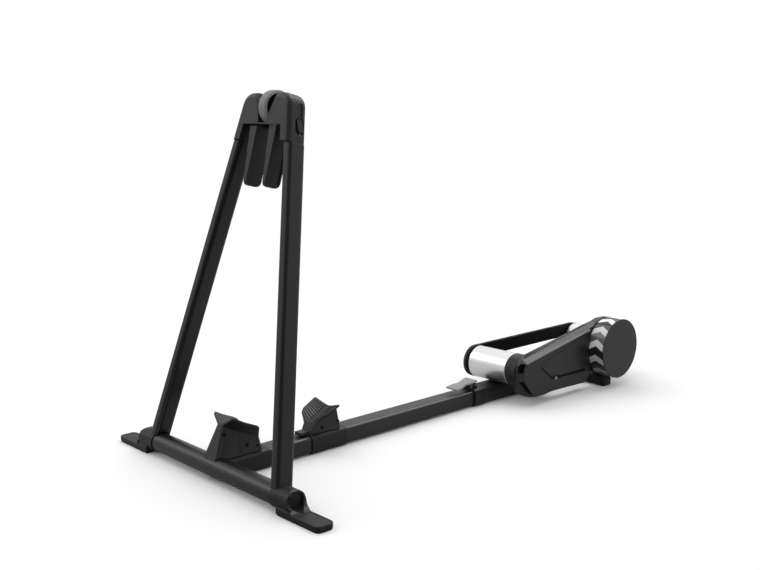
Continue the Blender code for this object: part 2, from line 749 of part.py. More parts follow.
def make_chock_button():
    """The tongue that is pressed to let the rear chock slide."""
    low = (-BUTTON_HALF_WIDTH, BUTTON_START, RAIL_TOP + FIT + BUTTON_TRAVEL)
    high = (BUTTON_HALF_WIDTH, REAR_SLEEVE_START - FIT, RAIL_TOP + FIT + BUTTON_TRAVEL + BUTTON_HEIGHT)
    finish(soften(block("chock_button", low, high), BUTTON_EDGE), "charcoal_plastic", BUTTON_SLIDE)


def foot_outline(inset, start):
    """A foot seen from above: square at the boss, rounded at the tip."""
    tip = FOOT_TIP - inset
    front = FOOT_FRONT + inset
    back = FOOT_BACK - inset
    radius = FOOT_TIP_RADIUS - inset
    points = [(start, front)]
    points += arc((tip - radius, front + radius), radius, -90, 0, CORNER_STEPS)
    points += arc((tip - radius, back - radius), radius, 0, 90, CORNER_STEPS)
    return points + [(start, back)]


def foot_outline_wide(inset):
    """The pad's outline, let out where the boss is wider than the pad."""
    half = BOSS_RADIUS + BOSS_MARGIN - inset
    points = foot_outline(inset, FOOT_START)
    start = [(FOOT_START, -half), (BOSS_END + BOSS_MARGIN, -half), (FILLET_END, FOOT_FRONT + inset)]
    end = [(FILLET_END, FOOT_BACK - inset), (BOSS_END + BOSS_MARGIN, half), (FOOT_START, half)]
    return start + points[1:-1] + end


def mirrored(outline, side):
    """The same outline on one side of the trainer, wound the same way."""
    if side == LEFT:
        return outline
    return [(-x, y) for x, y in reversed(outline)]


def make_foot(side):
    """A casting: a boss round the crossbar's end that runs down into a flat pad."""
    name = f"foot_{side_name(side)}"
    boss_top = CROSSBAR_Z + BOSS_RADIUS
    profile = [(FOOT_START, SOLE_THICKNESS), (FOOT_TIP, SOLE_THICKNESS), (FOOT_TIP, PAD_TOP)]
    profile += [(FILLET_END, PAD_TOP)]
    profile += arc((FILLET_END, PAD_TOP + FILLET_END - BOSS_END), FILLET_END - BOSS_END, 270, 180, 5)[1:]
    profile += arc((BOSS_END - BOSS_SHOULDER, boss_top - BOSS_SHOULDER), BOSS_SHOULDER, 0, 90, 4)
    profile += [(FOOT_START, boss_top)]
    across = [(-BOSS_RADIUS, SOLE_THICKNESS), (BOSS_RADIUS, SOLE_THICKNESS), (BOSS_RADIUS, PAD_TOP)]
    across += arc((0, CROSSBAR_Z), BOSS_RADIUS, -25, 205, 16)
    across += [(-BOSS_RADIUS, PAD_TOP)]
    foot = prism(name, "Y", -0.04, 0.04, mirrored(profile, side))
    finish(foot, "black_casting", TRAINER)
    start, end = sorted((side * (FOOT_START - 0.01), side * (FOOT_TIP + 0.01)))
    arch = prism(f"{name}_arch", "X", start, end, across)
    rings = [
        [(x, y, z) for x, y in mirrored(foot_outline_wide(inset), side)]
        for z, inset in ((0, 0), (PAD_TOP - PAD_BEVEL, 0), (PAD_TOP + 0.0001, PAD_BEVEL), (0.1, PAD_BEVEL))
    ]
    plan = loft(f"{name}_plan", rings)
    keep_common(foot, arch, plan)
    bore_end = CROSSBAR_HALF + FIT
    bore = rod(
        f"{name}_bore", CROSSBAR_RADIUS + FIT, side * 0.2, side * bore_end, (0, CROSSBAR_Z), ROUND_STEPS
    )
    scoop_centre = (0, CROSSBAR_Z + SCOOP_RISE)
    scoop_start = side * (BOSS_END - SCOOP_DEPTH)
    scoop = rod(f"{name}_scoop", SCOOP_RADIUS, scoop_start, side * (BOSS_END + 0.03), scoop_centre, 32)
    dish_line = mirrored(foot_outline(PAD_RIM, FILLET_END + PAD_RIM), side)
    dish = prism(f"{name}_dish", "Z", PAD_TOP - PAD_RECESS, PAD_TOP + 0.01, dish_line)
    screw_x, screw_z = FOOT_SCREW_PLACE
    screw_hole = rod(f"{name}_screw_hole", FOOT_SCREW_RADIUS, -FOOT_SCREW_DEPTH, FOOT_SCREW_DEPTH, steps=16)
    screw_hole.rotation_euler = (0, 0, math.pi / 2)
    screw_hole.location = (side * screw_x, FOOT_FRONT + 0.001, screw_z)
    cut(foot, bore, scoop, dish, screw_hole)
    sole_line = mirrored(foot_outline(SOLE_INSET, FOOT_START + SOLE_INSET), side)
    sole = prism(f"sole_{side_name(side)}", "Z", 0, SOLE_THICKNESS - FIT, sole_line)
    finish(sole, "rubber", TRAINER)


def leg_centre(w):
    return LEG_FOOT_X - LEG_SLOPE * w


def make_leg(side):
    """A leg's collar round the crossbar, and its tube, which stands on the collar and leans in."""
    name = side_name(side)
    inner = CROSSBAR_RADIUS + HINGE_GAP
    start, end = sorted((side * COLLAR_START, side * COLLAR_END))
    profile = [(end, COLLAR_RADIUS), (start, COLLAR_RADIUS), (start, inner), (end, inner)]
    finish(turned(f"leg_collar_{name}", profile), "black_casting", A_FRAME_HINGE)

    def section(w, wall):
        half = LEG_HALF_SPAN - wall
        corner = LEG_CORNER - wall
        outline = rounded_box(half, LEG_DEPTH / 2 - wall, corner, (side * leg_centre(w), 0))
        return [(x, v, w) for x, v in outline]

    rings = [
        section(LEG_START_W, 0),
        section(LEG_TOP_W, 0),
        section(LEG_TOP_W, LEG_WALL),
        section(LEG_START_W, LEG_WALL),
    ]
    leg = finish(loft(f"leg_{name}", rings, closed=True), "satin_black_tube", A_FRAME_HINGE)
    saddle = rod(f"leg_{name}_saddle", COLLAR_RADIUS + FIT, side * 0.18, side * 0.32, (0, 0), ROUND_STEPS)
    cut(leg, saddle)


def head_side(w):
    """The head's half width, a little less than the legs'."""
    return leg_centre(w) + LEG_HALF_SPAN - HEAD_SIDE_STEP


def head_outline(inset):
    """The head in the frame's plane: an arch whose ears stand on the legs. Only its outer edges are round."""
    low_inset = min(inset, HEAD_LOW_EDGE)
    bottom = LEG_TOP_W + FIT + low_inset
    face = HEAD_FACE_W + low_inset
    top = HEAD_TOP_W - inset
    corner = HEAD_CORNER - inset
    slope_angle = math.degrees(math.atan(LEG_SLOPE))

    def outer(w):
        return head_side(w) - inset / math.cos(math.radians(slope_angle))

    def inner(w):
        return leg_centre(w) - LEG_HALF_SPAN - EAR_DEEPER + low_inset

    corner_w = top - corner
    centre_x = outer(corner_w) - corner / math.cos(math.radians(slope_angle))
    right = [(inner(bottom), bottom), (outer(bottom), bottom)]
    right += arc((centre_x, corner_w), corner, slope_angle, 90, 6)
    left = [(-x, w) for x, w in reversed(right)]
    return right + left + [(-inner(face), face), (inner(face), face)]


def head_rings(seam, outside):
    """Sections of a shell from the seam to its outside, where a quarter circle rounds its edge."""
    way = 1 if outside > seam else -1
    rings = [[(x, seam, w) for x, w in head_outline(0)]]
    for step in range(HEAD_EDGE_STEPS + 1):
        turn = math.radians(90 * step / HEAD_EDGE_STEPS)
        v = outside - way * HEAD_EDGE * (1 - math.sin(turn))
        rings.append([(x, v, w) for x, w in head_outline(HEAD_EDGE * (1 - math.cos(turn)))])
    return rings


def slot_outline(grow=0):
    """The bell-shaped slot that the thumbwheel stands in."""
    bottom = DIAL_W - DIAL_RADIUS - RUN
    half = DIAL_HALF_WIDTH + SLOT_GAP + grow
    right = [
        (half, bottom),
        (SLOT_KNEE_HALF + grow, SLOT_KNEE_W),
        (SLOT_MOUTH_HALF + grow, HEAD_TOP_W + 0.01),
    ]
    return right + [(-x, w) for x, w in reversed(right)]


def side_plate(name, side, size, sink, thickness, place):
    """An oblong plate in the head's side, along the leg's slope, sunk in by a depth, at a (V, W) place."""
    length, width = size
    v, w = place
    run = (length - width) / 2
    outline = arc((0, run), width / 2, 0, 180, 8) + arc((0, -run), width / 2, 180, 360, 8)
    plate = prism(name, "X", -thickness / 2, thickness / 2, outline)
    tilt = math.atan(LEG_SLOPE)
    plate.rotation_euler = (0, -side * tilt, 0)
    depth = sink + thickness / 2
    out = head_side(w) - depth * math.cos(tilt)
    plate.location = (side * out, v, w - depth * math.sin(tilt))
    return plate


def head_shell(name, look, start, split, rings):
    shell = finish(loft(name, rings), look, A_FRAME_HINGE)
    cavity = prism(f"{name}_cavity", "Y", start, split, head_cavity())
    mouth = block(
        f"{name}_mouth",
        (-PADDLE_CAVITY_HALF, start, HEAD_FACE_W - 0.02),
        (PADDLE_CAVITY_HALF, split, HEAD_FACE_W + HEAD_WALL + 0.004),
    )
    cut(shell, cavity, mouth)
    return shell, cavity


def head_cavity():
    """The hollow that the paddles' hangers travel in."""
    bottom = HEAD_FACE_W + HEAD_WALL
    top = HEAD_TOP_W - HEAD_WALL
    side_wall = 2.5 * HEAD_WALL
    wide = head_side(bottom) - side_wall
    narrow = head_side(HEAD_TOP_W - HEAD_CORNER) - side_wall
    right = [(wide, bottom), (narrow, HEAD_TOP_W - HEAD_CORNER), (narrow - HEAD_CORNER + 0.012, top)]
    return right + [(-x, w) for x, w in reversed(right)]


def make_head():
    """Two shells that meet in the legs' plane, with the clamp's screw in ribs of the rear one."""
    inside_front = HEAD_FRONT_V + HEAD_WALL
    front, front_cavity = head_shell(
        "head_front_shell", "moulded_black", inside_front, 0.01, head_rings(-FIT / 2, HEAD_FRONT_V)
    )
    slot = prism("front_slot", "Y", HEAD_FRONT_V - 0.01, 0.01, slot_outline())
    cut(front, slot)
    # Walls beside the slot: the front cavity leaves out a wider slot as far back as their edge
    slot_walls = prism("slot_walls", "Y", inside_front - 0.002, SCOOP_BACK_V, slot_outline(SCOOP_WALL))
    cut(front_cavity, slot_walls)
    back, _ = head_shell(
        "head_rear_shell", "moulded_black", -0.01, HEAD_BACK_V - HEAD_WALL, head_rings(FIT / 2, HEAD_BACK_V)
    )
    half = DIAL_HALF_WIDTH + SLOT_GAP
    back_slot = block("back_slot", (-half, -0.01, DIAL_W), (half, HEAD_BACK_V + 0.01, HEAD_TOP_W + 0.01))
    dial_room = rod("dial_room", DIAL_RADIUS + 2 * RUN, -half, half, (DIAL_V, DIAL_W), ROUND_STEPS)
    cut(back, back_slot, dial_room)
    cap_size = (CAP_LENGTH, CAP_WIDTH)
    cap_place = (CAP_V, CAP_W)
    pocket_size = (CAP_LENGTH + 2 * FIT, CAP_WIDTH + 2 * FIT)
    guide_size = (GUIDE_LENGTH, GUIDE_WIDTH)
    pocket_depth = CAP_SINK + CAP_THICKNESS + FIT
    for side in (LEFT, RIGHT):
        name = side_name(side)
        inner, outer = sorted((side * SCREW_RIB_START, side * (SCREW_HALF + FIT)))
        rib = block(
            f"screw_rib_{name}",
            (inner, DIAL_V - SCREW_RIB_HALF, DIAL_W - SCREW_RIB_HALF),
            (outer, HEAD_BACK_V - HEAD_WALL / 2, DIAL_W + SCREW_RIB_HALF),
        )
        seat_start = side * (SCREW_RIB_START - 0.01)
        seat_end = side * (SCREW_HALF + FIT - 0.0002)
        seat = rod(f"screw_seat_{name}", SCREW_RADIUS + FIT, seat_start, seat_end, (DIAL_V, DIAL_W))
        join(back, rib)
        cut(back, seat)
        for shell, shell_name in ((front, "front"), (back, "rear")):
            label = f"{shell_name}_pocket_{name}"
            pocket = side_plate(label, side, pocket_size, -BEYOND, BEYOND + pocket_depth, cap_place)
            label = f"{shell_name}_guide_{name}"
            guide = side_plate(label, side, guide_size, -BEYOND, BEYOND + GUIDE_DEPTH, (GUIDE_V, GUIDE_W))
            cut(shell, pocket, guide)
        cap = side_plate(f"head_cap_{name}", side, cap_size, CAP_SINK, CAP_THICKNESS, cap_place)
        finish(cap, "deep_black", A_FRAME_HINGE)


def make_clamp_dial():
    """The thumbwheel and its screw."""
    bore = SCREW_RADIUS + FIT
    groove = DIAL_RADIUS - DIAL_RIM
    edge = 0.0015
    profile = [
        (DIAL_HALF_WIDTH, DIAL_RADIUS - edge),
        (DIAL_HALF_WIDTH - edge, DIAL_RADIUS),
        (edge - DIAL_HALF_WIDTH, DIAL_RADIUS),
        (-DIAL_HALF_WIDTH, DIAL_RADIUS - edge),
        (-DIAL_HALF_WIDTH, groove),
        (-DIAL_WEB, groove - edge),
        (-DIAL_WEB, DIAL_HUB),
        (-DIAL_HALF_WIDTH, DIAL_HUB),
        (-DIAL_HALF_WIDTH, bore),
        (DIAL_HALF_WIDTH, bore),
        (DIAL_HALF_WIDTH, DIAL_HUB),
        (DIAL_WEB, DIAL_HUB),
        (DIAL_WEB, groove - edge),
        (DIAL_HALF_WIDTH, groove),
    ]
    finish(turned("clamp_dial", profile), "grey_plastic", DIAL_AXIS)
    finish(rod("lead_screw", SCREW_RADIUS, -SCREW_HALF, SCREW_HALF), "steel", DIAL_AXIS)


def make_paddle(side):
    """A tapered paddle that hangs from a nut on the screw and presses on the tyre's side."""
    name = side_name(side)
    corner = PADDLE_FOOT_CORNER
    hanger_outer = PADDLE_X + PADDLE_TOP_HALF - HANGER_STEP
    top = HEAD_FACE_W - PADDLE_HEAD_GAP
    outline = [
        (PADDLE_X - PADDLE_TIP_HALF, PADDLE_TIP_W + corner),
        (PADDLE_X - PADDLE_TIP_HALF + corner, PADDLE_TIP_W),
        (PADDLE_X + PADDLE_TIP_HALF - corner, PADDLE_TIP_W),
        (PADDLE_X + PADDLE_TIP_HALF, PADDLE_TIP_W + corner),
        (PADDLE_X + PADDLE_TOP_HALF, top),
        (hanger_outer, top + 0.002),
        (hanger_outer, HANGER_TOP_W),
        (HANGER_INNER, HANGER_TOP_W),
        (HANGER_INNER, top + 0.003),
        (PADDLE_X - PADDLE_TOP_HALF, top),
    ]
    paddle = prism(f"paddle_{name}", "Y", PADDLE_FRONT_V, PADDLE_BACK_V, mirrored(outline, side))
    finish(paddle, "charcoal_plastic", CLAMP_SLIDE[side])
    top_face = top - 0.0006
    sideways = [(PADDLE_FRONT_V, top_face)]
    front_corner = (PADDLE_FRONT_V + PADDLE_TIP_CORNER, PADDLE_TIP_W + PADDLE_TIP_CORNER)
    back_corner = (PADDLE_BACK_V - PADDLE_BACK_CORNER, PADDLE_TIP_W + PADDLE_BACK_CORNER)
    sideways += arc(front_corner, PADDLE_TIP_CORNER, 180, 270, 4)
    sideways += arc(back_corner, PADDLE_BACK_CORNER, 270, 360, 5)
    sideways += [(PADDLE_BACK_V, top_face), (HANGER_BACK_V, top_face), (HANGER_BACK_V, HANGER_TOP_W + 0.01)]
    sideways += [(HANGER_FRONT_V, HANGER_TOP_W + 0.01), (HANGER_FRONT_V, top_face)]
    start, end = sorted((side * 0.01, side * 0.07))
    keep_common(paddle, prism(f"paddle_{name}_side", "X", start, end, sideways))
    low_w = PADDLE_TIP_W + PADDLE_TIP_CORNER
    high_w = HEAD_FACE_W - PADDLE_RIM
    slope = (PADDLE_TOP_HALF - PADDLE_TIP_HALF) / (HEAD_FACE_W - PADDLE_TIP_W)
    low_x = PADDLE_X + PADDLE_TIP_HALF + slope * PADDLE_TIP_CORNER - PADDLE_HOLLOW
    high_x = PADDLE_X + PADDLE_TOP_HALF - slope * PADDLE_RIM - PADDLE_HOLLOW
    hollow_line = [(low_x, low_w), (low_x + 0.03, low_w), (high_x + 0.03, high_w), (high_x, high_w)]
    hollow = prism(
        f"paddle_{name}_hollow",
        "Y",
        PADDLE_FRONT_V + PADDLE_RIM,
        PADDLE_BACK_V - PADDLE_RIM,
        mirrored(hollow_line, side),
    )
    cut(paddle, hollow)
    place = (DIAL_V, DIAL_W)
    seat = rod(f"nut_seat_{name}", NUT_RADIUS + FIT, side * 0.02, side * 0.06, place, 32)
    cut(paddle, seat)
    bore = SCREW_RADIUS + FIT
    start, end = sorted((side * HANGER_INNER, side * hanger_outer))
    profile = [(end, NUT_RADIUS), (start, NUT_RADIUS), (start, bore), (end, bore)]
    nut = turned(f"clamp_nut_{name}", profile, place, SMALL_STEPS)
    finish(nut, "brass", CLAMP_SLIDE[side])


def make_rear_tube():
    outer = rounded_box(*SLEEVE_SIZE, RAIL_CENTRE)
    bore = rounded_box(*SLEEVE_BORE, RAIL_CENTRE)
    tube = prism("rear_tube", "Y", CLAMP_END + FIT, REAR_TUBE_END, outer, bore)
    finish(tube, "satin_black_tube", REAR_UNIT_SLIDE)
    collar_z = SLEEVE_TOP + CLAMP_STEP - CLAMP_HALF_HEIGHT
    outer = rounded_box(CLAMP_HALF_WIDTH, CLAMP_HALF_HEIGHT, CLAMP_CORNER, (0, collar_z))
    collar = prism("clamp_collar", "Y", CLAMP_START, CLAMP_END, outer)
    finish(collar, "black_casting", REAR_UNIT_SLIDE)
    for side in (LEFT, RIGHT):
        start, end = sorted((side * (LEVER_HUB_HALF + FIT), side * (LEVER_HUB_HALF + FIT + LUG_WIDTH)))
        foot_z = collar_z + CLAMP_HALF_HEIGHT - 0.004
        lug_line = [(LEVER_PIVOT - LUG_HALF_LENGTH, foot_z), (LEVER_PIVOT + LUG_HALF_LENGTH, foot_z)]
        lug_line += arc((LEVER_PIVOT, LEVER_PIVOT_Z), LUG_TOP_RADIUS, 0, 180, 8)
        join(collar, prism(f"lug_{side_name(side)}", "X", start, end, lug_line))
    pin_end = LEVER_HUB_HALF + FIT + LUG_WIDTH
    pin_place = (LEVER_PIVOT, LEVER_PIVOT_Z)
    eye = rod("pin_eye", PIN_RADIUS + FIT, -0.03, 0.03, pin_place, 16)
    bore_line = rounded_box(*SLEEVE_BORE, RAIL_CENTRE)
    bore = prism("clamp_bore", "Y", CLAMP_START - 0.01, CLAMP_END + 0.01, bore_line)
    cut(collar, eye, bore)
    finish(rod("lever_pin", PIN_RADIUS, -pin_end, pin_end, pin_place, 16), "steel", REAR_UNIT_SLIDE)


def make_lever():
    """The waisted lever that locks the telescoping rail; it lifts by its front edge."""
    reach = LEVER_TIP - LEVER_PIVOT
    rise = LEVER_BACK_Z - LEVER_TIP_Z
    rings = []
    for share, half in ((0, 0.93), (0.12, 1), (0.3, 0.82), (0.5, 0), (0.7, 0.5), (0.88, 0.95), (1, 1)):
        wide = LEVER_WAIST + (LEVER_HALF_WIDTH - LEVER_WAIST) * half
        along = reach * (1 - share) + 0.002 * share
        low = LEVER_TIP_Z + rise * share - LEVER_PIVOT_Z
        high = low + LEVER_THICKNESS
        top = wide - LEVER_CHAMFER
        rings.append([(-wide, along, low), (wide, along, low), (top, along, high), (-top, along, high)])
    lever = finish(loft("clamp_lever", rings), "silver_lever", LEVER_AXIS)
    hub = rod("lever_hub", LEVER_HUB_RADIUS, -LEVER_HUB_HALF, LEVER_HUB_HALF)
    stem = block(
        "lever_stem",
        (0.0004 - LEVER_HUB_HALF, -0.0048, 0),
        (LEVER_HUB_HALF - 0.0004, 0.0008, LEVER_BACK_Z - LEVER_PIVOT_Z + 0.0012),
    )
    join(lever, stem, hub)
    cut(lever, rod("lever_eye", PIN_RADIUS + FIT, -0.03, 0.03, (0, 0), 16))


def make_cradle():
    """The front cross-member on the rear tube, with a flange at each end."""
    inner_end = ARM_INNER + FIT
    outer_end = HOUSING_INNER - FIT
    low = SLEEVE_TOP + FIT
    high = low + CRADLE_THICKNESS
    cradle = block("front_cradle", (inner_end, CRADLE_START, low), (outer_end, CRADLE_END, high))
    finish(cradle, "black_casting", REAR_UNIT_SLIDE)
    for name, start, end in (
        ("far", inner_end, inner_end + CRADLE_FLANGE),
        ("near", outer_end - CRADLE_FLANGE, outer_end),
    ):
        flange = block(f"flange_{name}", (start, CRADLE_START, low), (end, CRADLE_END, CRADLE_FLANGE_TOP))
        join(cradle, flange)


def make_rear_foot():
    """The rear cross-foot: it closes the rear tube and carries the rear roller's two bearings."""
    low = REAR_PAD_THICKNESS
    inner_end = REAR_FOOT_HALF - REAR_FOOT_LEG
    right = [
        (inner_end - REAR_FOOT_CHAMFER, REAR_FOOT_BRIDGE),
        (inner_end, low),
        (REAR_FOOT_HALF, low),
        (REAR_FOOT_HALF, REAR_FOOT_TOP - REAR_FOOT_CHAMFER),
        (REAR_FOOT_HALF - REAR_FOOT_CHAMFER, REAR_FOOT_TOP),
    ]
    outline = right + [(-x, z) for x, z in reversed(right)]
    foot = prism("rear_cross_foot", "Y", REAR_FOOT_START, REAR_FOOT_END, outline)
    finish(foot, "black_casting", REAR_UNIT_SLIDE)
    half_width = SLEEVE_SIZE[0]
    plug = block(
        "foot_block", (-half_width, REAR_TUBE_END + FIT, low), (half_width, REAR_FOOT_END - 0.001, SLEEVE_TOP)
    )
    near_end = REAR_ROLLER + UPRIGHT_MARGIN
    beam_start = REAR_FOOT_END - 0.01
    near_beam = block("near_beam", (NEAR_BEAM[0], beam_start, BEAM_LOW), (NEAR_BEAM[1], near_end, BEAM_HIGH))
    near_post = block(
        "near_post",
        (NEAR_BEAM[0] + 0.001, REAR_ROLLER - UPRIGHT_MARGIN, BEAM_LOW + 0.001),
        (NEAR_BEAM[1] - 0.001, near_end - 0.001, ROLLER_Z - TAIL_RADIUS - FIT),
    )
    far_end = REAR_ROLLER - 0.004
    far_beam = block("far_beam", (ARM_OUTER, beam_start, BEAM_LOW), (FAR_BEAM_INNER, far_end, BEAM_HIGH))
    far_post = block(
        "far_post",
        (ARM_OUTER + 0.0005, far_end - UPRIGHT_LENGTH, BEAM_LOW + 0.001),
        (FAR_BEAM_INNER - 0.001, far_end - 0.001, ROLLER_Z - ARM_RADIUS - FIT),
    )
    join(foot, plug, near_beam, near_post, far_beam, far_post)
    for side in (LEFT, RIGHT):
        pad_end = REAR_FOOT_HALF - REAR_PAD_INSET
        start, end = sorted((side * pad_end, side * (pad_end - REAR_PAD_LENGTH)))
        pad = block(
            f"rear_pad_{side_name(side)}",
            (start, REAR_FOOT_START + REAR_PAD_INSET, 0),
            (end, REAR_FOOT_END - REAR_PAD_INSET, REAR_PAD_THICKNESS - FIT),
        )
        finish(pad, "rubber", REAR_UNIT_SLIDE)


def make_roller(name, body):
    """A drum: a tube with a web in the middle and a hub on the axle."""
    edge = 0.0008
    inner = ROLLER_RADIUS - ROLLER_WALL
    profile = [
        (ROLLER_HALF, ROLLER_RADIUS - edge),
        (ROLLER_HALF - edge, ROLLER_RADIUS),
        (edge - ROLLER_HALF, ROLLER_RADIUS),
        (-ROLLER_HALF, ROLLER_RADIUS - edge),
        (-ROLLER_HALF, inner),
        (-ROLLER_WEB, inner),
        (-ROLLER_WEB, ROLLER_HUB),
        (-ROLLER_HUB_HALF, ROLLER_HUB),
        (-ROLLER_HUB_HALF, AXLE_BORE),
        (ROLLER_HUB_HALF, AXLE_BORE),
        (ROLLER_HUB_HALF, ROLLER_HUB),
        (ROLLER_WEB, ROLLER_HUB),
        (ROLLER_WEB, inner),
        (ROLLER_HALF, inner),
    ]
    finish(turned(f"{name}_drum", profile), "anodised_silver", body)


def make_bearing(name, start, place, radius=BEARING_RADIUS, bore=AXLE_BORE):
    end = start + BEARING_WIDTH
    profile = [(end, radius), (start, radius), (start, bore), (end, bore)]
    finish(turned(name, profile, place, SMALL_STEPS), "steel", REAR_UNIT_SLIDE)


def make_pulley(name, start, end, radius, body):
    profile = [(end, radius), (start, radius), (start, AXLE_BORE), (end, AXLE_BORE)]
    finish(turned(name, profile), "charcoal_plastic", body)


def make_rollers():
    near_bearing = HOUSING_INNER - FIT - BEARING_WIDTH
    far_bearing = (ARM_INNER + ARM_OUTER - BEARING_WIDTH) / 2
    for name, place, body, axle_end in (
        ("front_roller", FRONT_AXLE, FRONT_ROLLER_AXIS, DRIVE_BELT_END + 0.001),
        ("rear_roller", REAR_AXLE, REAR_ROLLER_AXIS, HOUSING_INNER + 0.001),
    ):
        make_roller(name, body)
        finish(rod(f"{name}_axle", AXLE_RADIUS, LINK_BELT_OUTER, axle_end), "steel", body)
        make_bearing(f"{name}_far_bearing", far_bearing, place)
        make_bearing(f"{name}_near_bearing", near_bearing, place)
        make_pulley(f"{name}_link_pulley", LINK_BELT_OUTER, LINK_BELT_INNER, LINK_PULLEY_RADIUS, body)
    start = DRIVE_BELT_START - PULLEY_MARGIN
    end = DRIVE_BELT_END + PULLEY_MARGIN
    make_pulley("front_drive_pulley", start, end, DRIVE_PULLEY_RADIUS, FRONT_ROLLER_AXIS)


def make_belt(name, start, end, first, first_radius, second, second_radius):
    """A flat belt round two pulleys."""
    inner = belt_line(first, first_radius + FIT, second, second_radius + FIT)
    outer = belt_line(first, first_radius + BELT_THICKNESS, second, second_radius + BELT_THICKNESS)
    finish(prism(name, "X", start, end, outer, inner), "ribbed_belt", REAR_UNIT_SLIDE)


def make_far_arm():
    """The plate between the rollers' far ends, open below its top span."""
    outline = belt_line(FRONT_AXLE, ARM_RADIUS, REAR_AXLE, ARM_RADIUS)
    arm = finish(prism("far_arm", "X", ARM_OUTER, ARM_INNER, outline), "deep_black", REAR_UNIT_SLIDE)
    window = block(
        "arm_window",
        (ARM_OUTER - 0.01, FRONT_ROLLER + WINDOW_MARGIN, 0),
        (ARM_INNER + 0.01, REAR_ROLLER - WINDOW_BACK_MARGIN, ARM_SPAN_Z),
    )
    front_seat = rod("far_front_seat", SEAT_BORE, ARM_OUTER - 0.01, ARM_INNER + 0.01, FRONT_AXLE)
    rear_seat = rod("far_rear_seat", SEAT_BORE, ARM_OUTER - 0.01, ARM_INNER + 0.01, REAR_AXLE)
    cut(arm, window, front_seat, rear_seat)


def drawn_in(points, inset):
    """An outline, wound anticlockwise, moved in by the same distance all round."""
    moved = []
    for before, here, after in zip(points[-1:] + points[:-1], points, points[1:] + points[:1]):
        first = math.dist(before, here)
        second = math.dist(here, after)
        one = ((before[1] - here[1]) / first, (here[0] - before[0]) / first)
        two = ((here[1] - after[1]) / second, (after[0] - here[0]) / second)
        reach = inset / (1 + one[0] * two[0] + one[1] * two[1])
        moved.append((here[0] + (one[0] + two[0]) * reach, here[1] + (one[1] + two[1]) * reach))
    return moved


def shell_line(top, *runs):
    """The inner shell's outline: corner and lower runs, the round end and the end of its top edge."""
    end = arc(FLYWHEEL_PLACE, ROUND_END_RADIUS, ROUND_END_START, ROUND_END_STOP, 30)
    return [top[0]] + [point for run in runs for point in run] + end + [top[1]]


def cover_line(top, *runs):
    """The cover's outline, whose top edge runs straight on past its end."""
    (front_y, front_z), (back_y, back_z) = top
    end_z = back_z + (back_z - front_z) / (back_y - front_y) * (COVER_REACH - back_y)
    points = [top[0]] + [point for run in runs for point in run]
    return points + [(COVER_REACH, points[-1][1]), (COVER_REACH, end_z)]


BACK_LINE = shell_line(BACK_TOP, BACK_BOSS, BACK_LOW, BACK_TAIL)
SPLIT_LINE = shell_line(SPLIT_TOP, SPLIT_BOSS, SPLIT_LOW, SPLIT_TAIL)
COVER_BASE = cover_line(SPLIT_TOP, SPLIT_BOSS, SPLIT_LOW, SPLIT_TAIL)
COVER_FACE = cover_line(FACE_TOP, FACE_BOSS, FACE_LOW, FACE_TAIL)


def make_inner_shell():
    """The inner half of the drive housing, which carries the near bearings and covers the belt's back."""
    rings = [
        [(HOUSING_INNER, y, z) for y, z in BACK_LINE],
        [(HOUSING_SPLIT, y, z) for y, z in SPLIT_LINE],
    ]
    shell = finish(loft("housing_inner_shell", rings, faceted=True), "moulded_black", REAR_UNIT_SLIDE)
    floor = HOUSING_INNER + HOUSING_WALL
    hollow = prism("inner_hollow", "X", floor, HOUSING_SPLIT + 0.01, drawn_in(BACK_LINE, HOUSING_WALL))
    front_eye = rod("front_eye", BEARING_RADIUS, HOUSING_INNER - 0.01, floor + 0.01, FRONT_AXLE)
    cut(shell, hollow, front_eye)
    split_line = drawn_in(SPLIT_LINE, HOUSING_WALL)
    keep_common(hollow, prism("split_hollow", "X", floor - 0.002, HOUSING_SPLIT + 0.012, split_line))
    # The tail stands out behind the round end and reaches the rear roller
    tail_line = belt_line(FLYWHEEL_PLACE, TAIL_ROOT_RADIUS, REAR_AXLE, TAIL_RADIUS, 14)
    tail = prism("inner_tail", "X", HOUSING_INNER + TAIL_STEP, HOUSING_SPLIT - TAIL_STEP, tail_line)
    tail_boss = rod("tail_boss", TAIL_BOSS_RADIUS, TAIL_START, HOUSING_INNER + 0.005, REAR_AXLE, 40)
    rear_seat = rod("near_rear_seat", SEAT_BORE, TAIL_START - 0.01, HOUSING_INNER + 0.002, REAR_AXLE)
    join(shell, tail, tail_boss)
    cut(shell, rear_seat)
    cut(tail, rod("tail_root", ROUND_END_RADIUS - HOUSING_WALL / 2, 0.09, 0.14, FLYWHEEL_PLACE, ROUND_STEPS))


